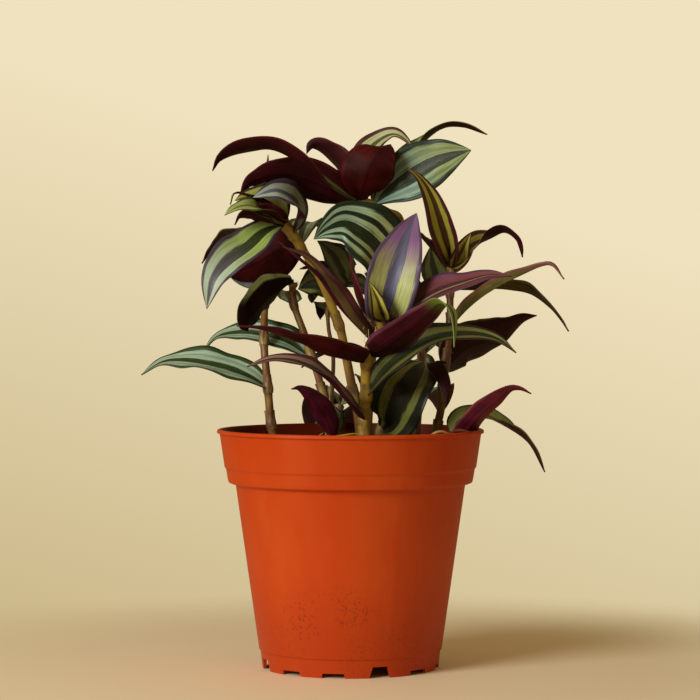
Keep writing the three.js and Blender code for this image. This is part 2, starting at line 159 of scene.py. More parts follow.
def addObject(name, data):
    made = bpy.data.objects.new(name, data)
    bpy.context.scene.collection.objects.link(made)
    return made


def addMesh(bm, name, materials):
    mesh = bpy.data.meshes.new(name)
    bm.to_mesh(mesh)
    bm.free()
    for material in materials:
        mesh.materials.append(material)
    return addObject(name, mesh)


def finishPiece(bm, name, replaced, materials):
    piece = addMesh(bm, name, materials)
    for polygon in piece.data.polygons:
        polygon.use_smooth = True
    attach(piece, "root")
    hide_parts(*replaced)
    return piece


# Camera, light and floor
# Places and sizes are in metres, and the lens and its sensor in millimetres.

view = dict(lens=132.7, sensor=36.0, nearest=0.05, place=(0.0, -1.160, 0.163), aim=(-0.0002, 0.0, 0.1425))
studio = dict(
    backdropDim=fromScreen(200, 180, 132), backdropLight=fromScreen(240, 226, 190),
    lighterRight=1.25, lighterUp=4.2, middleShare=0.75,  # how it turns from dim to light
    air=fromScreen(152, 128, 90),
    keyPlace=(-0.95, -1.0, 0.62), keyAim=(0, 0, 0.13), keyPower=17.5, keySize=0.75,
    keyColour=(1.0, 0.965, 0.89),
)
paleFloor = dict(
    radius=0.32, clearShare=0.97, fullRadius=0.13, steps=96, colour=fromScreen(250, 238, 206),
    fineGrain=300, bump=(0.1, 0.0003),
)


def aimAt(piece, place, target):
    piece.location = place
    piece.rotation_euler = (Vector(target) - Vector(place)).to_track_quat("-Z", "Y").to_euler()


def makeCamera():
    data = bpy.data.cameras.new("camera")
    data.lens = view["lens"]
    data.sensor_width = view["sensor"]
    data.clip_start = view["nearest"]
    camera = addObject("camera", data)
    aimAt(camera, view["place"], view["aim"])
    bpy.context.scene.camera = camera


def makeStudio():
    # The camera sees a cream backdrop that is dimmer to the left and low down, and a dimmer and warmer air
    # lights the plant from all round
    world = bpy.data.worlds.new("studio")
    bpy.context.scene.world = world
    world.use_nodes = True
    tree = world.node_tree
    tree.nodes.clear()
    way = partsOf(addNode(tree, "TexCoord").outputs["Generated"])
    share = reckon("MULTIPLY_ADD", way["Z"], studio["lighterUp"], studio["middleShare"])
    share = reckon("MULTIPLY_ADD", way["X"], studio["lighterRight"], share)
    colour = blendColours(spread(share, 0, 1), studio["backdropDim"], studio["backdropLight"])
    seen = addNode(tree, "Background", {"Color": colour})
    around = addNode(tree, "Background", {"Color": studio["air"]})
    forCamera = addNode(tree, "LightPath").outputs["Is Camera Ray"]
    both = addNode(tree, "MixShader", {0: forCamera, 1: around.outputs[0], 2: seen.outputs[0]})
    addNode(tree, "OutputWorld", {0: both.outputs[0]})
    data = bpy.data.lights.new("key", "AREA")
    data.shape = "DISK"
    data.size = studio["keySize"]
    data.energy = studio["keyPower"]
    data.color = studio["keyColour"]
    aimAt(addObject("key", data), studio["keyPlace"], studio["keyAim"])
    bpy.context.scene.view_settings.view_transform = "Standard"


def makeFloor():
    # A pale disc that is whole near the pot and fades out towards its edge
    bm = bmesh.new()
    bmesh.ops.create_circle(bm, cap_ends=True, segments=paleFloor["steps"], radius=paleFloor["radius"])
    made, tree, shader = newMaterial("paleFloor", {"Base Color": paleFloor["colour"], "Roughness": 0.6})
    place = objectPlace(tree)
    away = lengthOf(place)
    fade = smoothStep(away, paleFloor["radius"] * paleFloor["clearShare"], paleFloor["fullRadius"])
    feed(shader, {"Alpha": fade})
    addBump(shader, grain(place, paleFloor["fineGrain"]), *paleFloor["bump"])
    floor = addMesh(bm, "floor", [made])


makeCamera()
makeStudio()
makeFloor()
print("camera, light and floor made")


# Pot
# Its sizes, and the dust's place and reach, are in millimetres, its angles in degrees and the seam's width
# in radians. The other heights and depths of its finish are in metres. A patchy look is a grain and then
# where it starts and ends, and a bump is a strength and a distance.

pot = dict(
    height=107, lipRadius=60, lipThickness=1.6, lipChamfer=(0.6, 0.5), lipFillet=0.3, innerLipChamfer=0.4,
    wall=1.2, innerBendRise=(0.2, 0.6), steps=180,
    collarTopRadius=58.8, collarStepHeight=90.2, collarStepRadius=56.6, stepLedge=(0.7, 1),
    collarBottomHeight=84.8, collarBottomRadius=55.2, collarUnderside=(0.4, 1.5),
    bodyTopHeight=82.1, bodyTopRadius=51.6, footHeight=8, footLedge=0.4, bodyFootRadius=41.1,
    footTopRadius=40.5, footRadius=39.6, floorHeight=5.4, cornerRound=0.22, sharpAngle=38,
    notchCount=12, firstNotchAngle=19, tallNotch=(10.4, 6.8, 5), lowNotch=(10.8, 9.6, 2.1),
    notchReach=(-3, 5),
    drainHoles=6, drainHoleRadius=3.5, drainHoleCircle=26, drainHoleDepth=6,
    seamAngle=-66, seamDepth=0.14, seamWidth=0.012,
    # The low clay colour and its span are painted shade that darkens the clay towards the bottom
    clay=fromScreen(192, 61, 2), paleClay=fromScreen(200, 78, 22), lowShadeClay=fromScreen(164, 52, 6),
    mottle=((26, 4, 0.6, (1, 1, 0.45)), (0.3, 0.8)), lowShadeSpan=(0.05, 0.006, 0.0, 0.6),
    dust=fromScreen(86, 38, 16), dustPlace=(-8, 24), dustReach=(24, 18), dustShare=0.75, dustRelief=1.5,
    dustFade=(1.3, 0.2), frontFade=(0.0, -0.02), lowDust=(0.04, 0.012, 0.0, 0.35),
    dustPatches=((44, 3), (0.38, 0.6)), specks=((700, 2, 0.7), (0.54, 0.64)),
    # Painted shade on the inside of the wall: its colour, and the cone and heights that it fills
    innerWallShade=fromScreen(112, 34, 12), shadeConeSlope=0.145, shadeConeRadius=0.0429, shadeConeEdge=(0.0002, -0.0004),
    shadeHeights=(0.0885, 0.0905),
    fine=(900, 3, 0.6), roughness=(0.4, 0.56), bump=(0.12, 0.0002),
)
ledgeWidth, ledgeHeight = pot["stepLedge"]
bodyRise, collarRise = pot["innerBendRise"]
# The inside of the wall, its bends a little higher than the outside's
innerWall = [
    (pot["footTopRadius"] - pot["wall"], pot["floorHeight"] + pot["wall"]),
    (pot["bodyTopRadius"] - pot["wall"], pot["bodyTopHeight"] + bodyRise),
    (pot["collarBottomRadius"] - pot["wall"], pot["collarBottomHeight"] + collarRise),
    (pot["collarStepRadius"] - ledgeWidth - pot["wall"], pot["collarStepHeight"] - ledgeHeight),
    (pot["collarStepRadius"] - pot["wall"], pot["collarStepHeight"]),
    (pot["collarTopRadius"] - pot["wall"], pot["height"] - pot["lipThickness"]),
]


def innerRadius(height):
    for (r0, z0), (r1, z1) in zip(innerWall, innerWall[1:]):
        if height <= z1:
            return r0 + (r1 - r0) * (height - z0) / (z1 - z0)
    return innerWall[-1][0]


def addProfile(bm, profile, rounding, steps):
    # A line of (radius, height) pairs from axis to axis, its corners rounded, spun about the axis
    line = [bm.verts.new((radius * mm, 0, height * mm)) for radius, height in profile]
    for first, second in zip(line, line[1:]):
        bm.edges.new((first, second))
    corners = [vert for vert in line if vert.co.x > 0]
    bmesh.ops.bevel(
        bm, geom=corners, offset=rounding * mm, affect="VERTICES", segments=3, profile=0.5,
        material=-1, clamp_overlap=True,
    )
    bmesh.ops.spin(
        bm, geom=bm.verts[:] + bm.edges[:], cent=(0, 0, 0), axis=(0, 0, 1), angle=math.tau,
        steps=steps, use_merge=True,
    )
    bmesh.ops.remove_doubles(bm, verts=bm.verts, dist=1e-6)
    bmesh.ops.recalc_face_normals(bm, faces=bm.faces)


def makePotCutters():
    bm = bmesh.new()
    outer, inner = pot["notchReach"]
    for k in range(pot["notchCount"]):
        bottomWidth, topWidth, height = pot["lowNotch"] if k % 3 else pot["tallNotch"]
        made = bmesh.ops.create_cube(bm, size=1)["verts"]
        for vert in made:
            # The trapezium's sides lean in from 1 mm below the table to its top
            z = -1 if vert.co.z < 0 else height
            width = bottomWidth if z < 0 else topWidth
            y = -pot["footRadius"] + (inner if vert.co.y > 0 else outer)
            vert.co = Vector((vert.co.x * width, y, z)) * mm
        turn = Matrix.Rotation(math.radians(pot["firstNotchAngle"] + k * 360 / pot["notchCount"]), 3, "Z")
        bmesh.ops.rotate(bm, cent=(0, 0, 0), matrix=turn, verts=made)
    for k in range(pot["drainHoles"]):
        angle = k * math.tau / pot["drainHoles"]
        centre = Vector((math.cos(angle), math.sin(angle), 0)) * pot["drainHoleCircle"] * mm
        centre.z = pot["floorHeight"] * mm
        radius = pot["drainHoleRadius"] * mm
        bmesh.ops.create_cone(
            bm, cap_ends=True, segments=32, radius1=radius, radius2=radius,
            depth=pot["drainHoleDepth"] * mm, matrix=Matrix.Translation(centre),
        )
    return addMesh(bm, "potCutters", [])


def makePotPlastic():
    made, tree, shader = newMaterial("potPlastic", {"Specular IOR Level": 0.22})
    place = objectPlace(tree)
    spots = partsOf(place)
    base = blendColours(patches(place, pot["mottle"]), pot["clay"], pot["paleClay"])
    # Painted shade: the clay turns darker towards the bottom
    base = blendColours(smoothStep(spots["Z"], *pot["lowShadeSpan"]), base, pot["lowShadeClay"])
    # Watering dust: specks in a patch low on the front, and a few all round near the foot
    (x, z), (wide, high) = pot["dustPlace"], pot["dustReach"]
    sideways = reckon("MULTIPLY_ADD", spots["X"], 1 / (wide * mm), -x / wide)
    upward = reckon("MULTIPLY_ADD", spots["Z"], 1 / (high * mm), -z / high)
    away = lengthOf(addNode(tree, "CombineXYZ", {0: sideways, 1: upward}).outputs[0])
    front = smoothStep(spots["Y"], *pot["frontFade"])
    near = times(smoothStep(away, *pot["dustFade"]), front)
    low = smoothStep(spots["Z"], *pot["lowDust"])
    amount = times(reckon("MAXIMUM", near, low), patches(place, pot["dustPatches"]))
    dusty = times(times(patches(place, pot["specks"]), amount), pot["dustShare"])
    outer = blendColours(dusty, base, pot["dust"])
    # The inside of the wall, within a cone that runs up the wall's middle, is darkened with painted shade
    # in its upper part
    flat = addNode(tree, "VectorMath", {0: place, 1: (1, 1, 0)}, operation="MULTIPLY").outputs[0]
    middle = reckon("MULTIPLY_ADD", spots["Z"], pot["shadeConeSlope"], pot["shadeConeRadius"])
    innerShade = smoothStep(minus(lengthOf(flat), middle), *pot["shadeConeEdge"])
    innerShade = times(innerShade, smoothStep(spots["Z"], *pot["shadeHeights"]))
    colour = blendColours(innerShade, outer, pot["innerWallShade"])
    fine = grain(place, *pot["fine"])
    feed(shader, {"Base Color": colour, "Roughness": spread(fine, *pot["roughness"])})
    addBump(shader, reckon("ADD", fine, times(dusty, pot["dustRelief"])), *pot["bump"])
    return made


def markSharp(mesh, degrees):
    # Edges that turn by more than this stay crisp under smooth shading
    bm = bmesh.new()
    bm.from_mesh(mesh)
    for edge in bm.edges:
        edge.smooth = len(edge.link_faces) == 2 and edge.calc_face_angle() < math.radians(degrees)
    bm.to_mesh(mesh)
    bm.free()


def makePot():
    lipBottom = pot["height"] - pot["lipThickness"]
    chamferWidth, chamferHeight = pot["lipChamfer"]
    undersideWidth, undersideHeight = pot["collarUnderside"]
    outside = [
        (0, pot["floorHeight"]),
        (pot["footRadius"] - pot["wall"], pot["floorHeight"]),
        (pot["footRadius"] - pot["wall"], 0),
        (pot["footRadius"], 0),
        (pot["footTopRadius"], pot["footHeight"]),
        (pot["bodyFootRadius"], pot["footHeight"] + pot["footLedge"]),
        (pot["bodyTopRadius"], pot["bodyTopHeight"]),
        (pot["collarBottomRadius"] - undersideWidth, pot["collarBottomHeight"] - undersideHeight),
        (pot["collarBottomRadius"], pot["collarBottomHeight"]),
        (pot["collarStepRadius"] - ledgeWidth, pot["collarStepHeight"] - ledgeHeight),
        (pot["collarStepRadius"], pot["collarStepHeight"]),
        (pot["collarTopRadius"], lipBottom - pot["lipFillet"]),
        (pot["lipRadius"], lipBottom),
        (pot["lipRadius"], pot["height"] - chamferHeight),
        (pot["lipRadius"] - chamferWidth, pot["height"]),
        (pot["collarTopRadius"] - pot["wall"] + pot["innerLipChamfer"], pot["height"]),
    ]
    inside = list(reversed(innerWall)) + [(0, pot["floorHeight"] + pot["wall"])]
    bm = bmesh.new()
    addProfile(bm, outside + inside, pot["cornerRound"], pot["steps"])
    for vert in bm.verts:
        # A thin raised seam of the mould up the collar and down the body
        radius = math.hypot(vert.co.x, vert.co.y)
        turn = math.atan2(vert.co.y, vert.co.x) - math.radians(pot["seamAngle"])
        wallMiddle = innerRadius(vert.co.z / mm) * mm + pot["wall"] / 2 * mm
        if radius > wallMiddle and vert.co.z > pot["footHeight"] * mm:
            lift = pot["seamDepth"] * mm * math.exp(-((turn / pot["seamWidth"]) ** 2))
            vert.co.x += lift * vert.co.x / radius
            vert.co.y += lift * vert.co.y / radius
    piece = finishPiece(bm, "plasticPot", ["pot"], [makePotPlastic()])
    cutters = makePotCutters()
    cut = piece.modifiers.new("notches", "BOOLEAN")
    cut.operation = "DIFFERENCE"
    cut.solver = "EXACT"
    cut.use_self = False
    cut.object = cutters
    cutMesh = bpy.data.meshes.new_from_object(piece.evaluated_get(bpy.context.evaluated_depsgraph_get()))
    piece.modifiers.clear()
    piece.data = cutMesh
    bpy.data.objects.remove(cutters)
    markSharp(cutMesh, pot["sharpAngle"])


makePot()
print("pot made")


# Soil
# Its sizes are in millimetres, and its finish is written as the pot's is.

soil = dict(
    edgeHeight=96.2, rise=1.8, waveHeight=0.5, waveAcross=5, waveBack=6, gap=0.4, cornerRound=0.05,
    crumbHeight=0.8, crumbScale=0.34, crumbLevel=3, crumbNoise=(1.0, 2.0, 3), flatFrom=0.93,
    steps=96, rings=26, topMargin=0.01,
    seed=5, granules=620, granuleSize=(0.6, 1.9), granuleShape=((0.6, 1.5), (0.5, 1.1), (0.4, 0.9)),
    granuleMargin=2, granuleLift=0.2,
    peat=fromScreen(44, 27, 18), brown=fromScreen(86, 54, 32), bark=fromScreen(122, 78, 46),
    lumps=(260, 5, 0.7), lumpRange=(0.35, 0.7), fibres=((420, 2, 0.5, (1, 0.25, 1)), (0.66, 0.72)),
    bump=(0.9, 0.0012),
)


def makeSoilEarth():
    made, tree, shader = newMaterial("pottingSoil", {"Roughness": 0.95, "Specular IOR Level": 0.2})
    place = objectPlace(tree)
    lumps = grain(place, *soil["lumps"])
    earth = blendColours(smoothStep(lumps, *soil["lumpRange"]), soil["peat"], soil["brown"])
    feed(shader, {"Base Color": blendColours(patches(place, soil["fibres"]), earth, soil["bark"])})
    addBump(shader, lumps, *soil["bump"])
    return made


def soilHeight(x, y):
    # The same low mound and lumps as the solid has, with finer crumbs on it
    share = math.hypot(x, y) / innerRadius(soil["edgeHeight"])
    wave = soil["waveHeight"] * math.sin(x / soil["waveAcross"]) * math.cos(y / soil["waveBack"])
    mound = soil["rise"] * max(0.0, 1 - share) + wave
    place = Vector((x, y, soil["crumbLevel"])) * soil["crumbScale"]
    crumbs = noise.fractal(place, *soil["crumbNoise"]) * soil["crumbHeight"]
    return soil["edgeHeight"] + mound + crumbs * (1 - eased(share, soil["flatFrom"], 1))


def makeSoil():
    bottom = pot["floorHeight"] + pot["wall"] + soil["gap"]
    side = [(r - soil["gap"], z) for r, z in innerWall if bottom < z < soil["edgeHeight"]]
    rim = innerRadius(soil["edgeHeight"]) - soil["gap"]
    top = [(rim * (1 - k / soil["rings"]), soil["edgeHeight"]) for k in range(soil["rings"] + 1)]
    bm = bmesh.new()
    profile = [(0, bottom), (innerRadius(bottom) - soil["gap"], bottom)] + side + top
    addProfile(bm, profile, soil["cornerRound"], soil["steps"])
    for vert in bm.verts:
        if vert.co.z > (soil["edgeHeight"] - soil["topMargin"]) * mm:
            vert.co.z = soilHeight(vert.co.x / mm, vert.co.y / mm) * mm
    draw = random.Random(soil["seed"])
    for _ in range(soil["granules"]):
        away = (rim - soil["granuleMargin"]) * math.sqrt(draw.random())
        turn = draw.uniform(0, math.tau)
        x, y = away * math.cos(turn), away * math.sin(turn)
        size = draw.uniform(*soil["granuleSize"])
        squeeze = Vector([draw.uniform(*span) for span in soil["granuleShape"]]) * size * mm
        centre = Vector((x, y, soilHeight(x, y) + soil["granuleLift"] * size))
        axis = Vector([draw.gauss(0, 1) for _ in range(3)]).normalized()
        roll = Quaternion(axis, draw.uniform(0, math.pi)).to_matrix().to_4x4()
        shape = Matrix.Translation(centre * mm) @ roll @ Matrix.Diagonal(squeeze).to_4x4()
        bmesh.ops.create_icosphere(bm, subdivisions=1, radius=1, matrix=shape)
    finishPiece(bm, "pottingSoil", ["soil"], [makeSoilEarth()])


makeSoil()
print("soil made")


# Leaves and stems: shapes, in millimetres and in shares of a length or a width

stemShape = dict(
    radius=2, tipShare=0.75, rootBottom=72, jointSwelling=0.24, jointHalfLength=2.2, unevenness=0.04,
    lobes=3, bends=40, sides=14, ringSpacing=1.3, grainLength=100,
    sheathLength=8.5, sheathGap=0.36, sheathFoot=0.5, sheathLean=0.5, sheathBelow=0.25, lastMouth=0.995,
    hairs=16, hairReach=(-1.5, 5.5), hairLength=(0.9, 2.0), hairRadii=(0.07, 0.015), hairLean=(0.2, 1),
    hairRise=0.6, lastHair=0.99,
    threadTaper=0.7, threadSides=6,
)
# How far a stem is fresh and yellow at its foot and at its top, and the heights that these are at
freshShares = dict(shoot_front=(0.75, 0.95), shoot_left_high=(0.05, 0.85), shoot_top=(0.1, 0.35))
freshHeights = (115, 200)
bladeForm = dict(
    rows=44, columns=16, thickness=0.7, marginThinning=0.6, clasp=1.5, claspFade=3, tipHalfWidth=0.12,
    grooveDepth=0.32, grooveWidth=0.07, fold=16, baseFold=0.8, baseFoldFade=6, crown=1.4,
    wave=0.04, waveTurns=14, waveShift=1.3, fineWave=0.010, fineTurns=33, fineShifts=(7, 2),
    widest=0.38, plump=0.95,
)


def curveThrough(points):
    # A smooth curve through the points, read by shares of its length
    knots = [Vector(point) for point in points]
    knots = [2 * knots[0] - knots[1]] + knots + [2 * knots[-1] - knots[-2]]
    steps = 40
    line = []
    for a, b, c, d in zip(knots, knots[1:], knots[2:], knots[3:]):
        for k in range(steps):
            t = k / steps
            line.append(0.5 * (2 * b + (c - a) * t + (2 * a - 5 * b + 4 * c - d) * t * t
                               + (3 * b - a - 3 * c + d) * t ** 3))
    line.append(knots[-2])
    reached = [0.0]
    for first, second in zip(line, line[1:]):
        reached.append(reached[-1] + (second - first).length)
    return dict(line=line, reached=reached, length=reached[-1])


def pointAt(curve, share):
    wanted = min(1.0, max(0.0, share)) * curve["length"]
    low, high = 0, len(curve["line"]) - 1
    while high - low > 1:
        middle = (low + high) // 2
        if curve["reached"][middle] <= wanted:
            low = middle
        else:
            high = middle
    span = curve["reached"][high] - curve["reached"][low]
    return curve["line"][low].lerp(curve["line"][high], (wanted - curve["reached"][low]) / span)


def alongAt(curve, share):
    ahead = 0.004
    return (pointAt(curve, min(1.0, share + ahead)) - pointAt(curve, max(0.0, share - ahead))).normalized()


def squareTo(way, along):
    return (way - along * way.dot(along)).normalized()


def outwardAt(along, turn):
    # Straight out of a stem that runs along this way, at a turn about it
    side = squareTo(Vector((0, 1, 0)), along)
    return side * math.sin(turn) + along.cross(side) * math.cos(turn)


def bladeWidth(t, widest, plump):
    # From 0 at the base through 1 at the widest place to 0 at the tip, and rounder for a small plump
    power = math.log(0.5) / math.log(widest)
    return max(0.0, math.sin(math.pi * t ** power)) ** plump


# Leaves and stems: colours

def leafTone(colour):
    # The upper faces are a little darker and less blue than they look beside the cream backdrop
    toneShares = (0.92, 0.95, 0.8, 1)
    return tuple(part * share for part, share in zip(fromScreen(*colour), toneShares))


def look(band, centre, margin, under, inner=0.22, outer=0.76, tip=None, rib=0.0,
         underEdge=None, edgeSide=0, edgeFrom=-1, underTip=None, centreTip=None, marginTip=None):
    # band: the pale stripe on each half; centre: the dark one between them; tip: the band's tip
    # inner, outer: where the band starts and ends; outer is also where the underside's edge colour starts
    # edgeFrom: the share of the leaf's length past which its underside has the edge colour
    # edgeSide: the half that has the edge colour, 1 or -1, or 0 for both
    # rib: how clear a pale midrib is, or below 0 how clear a dark line along the middle of each band is
    upper = dict(band=band, centre=centre, margin=margin, bandTip=tip or band)
    upper.update(centreTip=centreTip or centre, marginTip=marginTip or margin)
    lower = dict(under=under, underTip=underTip or under, underEdge=underEdge or under)
    lower.update(edgeTip=underTip or underEdge or under)
    colours = {name: leafTone(colour) for name, colour in upper.items()}
    colours.update((name, fromScreen(*colour)) for name, colour in lower.items())
    return dict(colours, edgeSide=edgeSide, edgeFrom=edgeFrom, place=(inner, outer, rib))


# Where along a leaf its colours turn into those of its tip
tipTurns = dict(band=(0.35, 0.75), centre=(0.3, 0.7), margin=(0.55, 0.8), under=(0.62, 0.82))
edgeTurn = 0.15


leafLooks = dict(
    paleGreen=look((174, 200, 188), (46, 68, 32), (48, 72, 36), (44, 14, 18), 0.22, 0.74, rib=-0.35),
    silverLime=look((166, 190, 112), (56, 68, 30), (72, 60, 84), (66, 12, 18), 0.3, 0.8,
                    (186, 206, 196), centreTip=(88, 84, 104)),
    blueSilver=look((176, 190, 190), (104, 108, 140), (74, 62, 92), (54, 14, 22), 0.2, 0.7),
    lime=look((206, 214, 124), (84, 82, 40), (60, 48, 36), (60, 12, 16), 0.2, 0.78),
    limeCurl=look((186, 200, 124), (112, 122, 78), (80, 90, 52), (56, 10, 14), 0.14, 0.8),
    # The silver look's margin is dark green with a painted sky reflection in its blue
    silver=look((150, 182, 178), (40, 56, 36), (40, 58, 52), (60, 14, 20), 0.28, 0.78,
                (160, 178, 124), rib=-0.4),
    roseSilver=look((190, 204, 154), (92, 84, 56), (84, 34, 40), (92, 18, 22), 0.2, 0.7, (196, 200, 164)),
    mintBack=look((184, 206, 160), (128, 146, 100), (96, 110, 62), (54, 16, 14), 0.2, 0.8,
                  underEdge=(92, 96, 44)),
    olive=look((132, 138, 60), (60, 62, 26), (72, 60, 32), (58, 40, 20)),
    oliveBack=look((140, 148, 82), (74, 76, 36), (84, 82, 40), (52, 24, 22), 0.2, 0.84,
                   underEdge=(108, 108, 58)),
    oliveMaroon=look((182, 178, 76), (84, 46, 34), (84, 32, 44), (56, 14, 18), 0.26, 0.66),
    oliveRose=look((126, 134, 66), (84, 72, 44), (128, 84, 82), (124, 118, 64), 0.2, 0.7, (150, 104, 96),
                   underEdge=(142, 92, 84), underTip=(150, 100, 92)),
    darkGreen=look((114, 116, 60), (44, 52, 28), (48, 40, 32), (46, 12, 16), 0.3, 0.72, (140, 142, 86)),
    darkOlive=look((104, 112, 62), (34, 40, 20), (38, 42, 26), (40, 10, 14), 0.26, 0.7),
    stripedNight=look((124, 128, 66), (28, 32, 16), (26, 30, 16), (40, 10, 14), 0.34, 0.6),
    deepGreen=look((208, 220, 160), (26, 46, 24), (26, 48, 32), (36, 10, 16), 0.2, 0.76,
                   (166, 202, 190), rib=-1.0),
    greenRim=look((158, 182, 138), (60, 80, 40), (104, 130, 84), (34, 8, 10), 0.2, 0.64,
                  underEdge=(170, 196, 146), edgeSide=1, underTip=(34, 8, 10)),
    dustyPurple=look((138, 116, 100), (70, 58, 38), (96, 44, 66), (58, 12, 30), 0.3, 0.7, (170, 132, 136)),
    plum=look((112, 62, 88), (84, 44, 62), (86, 26, 66), (58, 10, 30), 0.2, 0.8, None, 0.8),
    orchid=look((106, 48, 62), (78, 28, 40), (92, 46, 92), (62, 12, 28), 0.3, 0.8, (126, 62, 82), 0.6),
    bloom=look((196, 204, 140), (102, 102, 146), (96, 76, 118), (64, 14, 40), 0.26, 0.84, (142, 100, 164)),
    youngLime=look((214, 210, 108), (104, 84, 42), (70, 30, 32), (66, 20, 24), 0.22, 0.76),
    # The maroon look's underside edge colour is a painted highlight along its lit rim
    maroon=look((96, 40, 56), (70, 26, 36), (84, 24, 50), (76, 20, 28), 0.2, 0.8, underEdge=(112, 50, 54)),
    maroonGreen=look((112, 74, 92), (92, 44, 62), (92, 44, 84), (56, 12, 22), 0.3, 0.7, (142, 168, 92),
                     underEdge=(98, 48, 66), underTip=(116, 146, 56), marginTip=(130, 160, 80)),
    wineBack=look((124, 138, 92), (52, 44, 28), (64, 30, 34), (50, 7, 12), underEdge=(78, 18, 22)),
    roseBack=look((150, 90, 100), (110, 50, 60), (130, 60, 76), (100, 30, 48), underEdge=(124, 52, 60)),
    plumOlive=look((116, 112, 62), (54, 44, 24), (62, 32, 34), (84, 68, 36), 0.3, 0.5,
                   underEdge=(70, 34, 36)),
    oliveNight=look((120, 128, 60), (60, 52, 24), (80, 60, 36), (64, 54, 26), underEdge=(88, 76, 40)),
    dry=look((120, 62, 34), (92, 44, 26), (84, 36, 22), (96, 44, 24), 0.3, 0.8),
    nightBack=look((120, 132, 88), (48, 44, 28), (60, 34, 30), (46, 12, 12), 0.22, 0.84,
                   underEdge=(104, 102, 54)),
    redBack=look((124, 138, 132), (70, 74, 84), (92, 96, 112), (60, 9, 13), 0.2, 0.56,
                 underEdge=(132, 142, 156), edgeFrom=0.5),
    scarletBack=look((140, 150, 110), (64, 50, 36), (88, 60, 58), (66, 9, 10), underEdge=(82, 16, 18)),
    purpleBack=look((112, 128, 84), (56, 52, 34), (70, 84, 44), (66, 12, 28)),
)

# The leafy stems
# A leaf's look, its place as a share of the stem, its width and its midrib's points from just past the base
# to the tip, in millimetres. Roll turns it about the midrib from base to tip, and fold raises its halves.

def leaf(lookName, at, width, points, **shape):
    return dict(look=lookName, at=at, width=width, points=points, **shape)


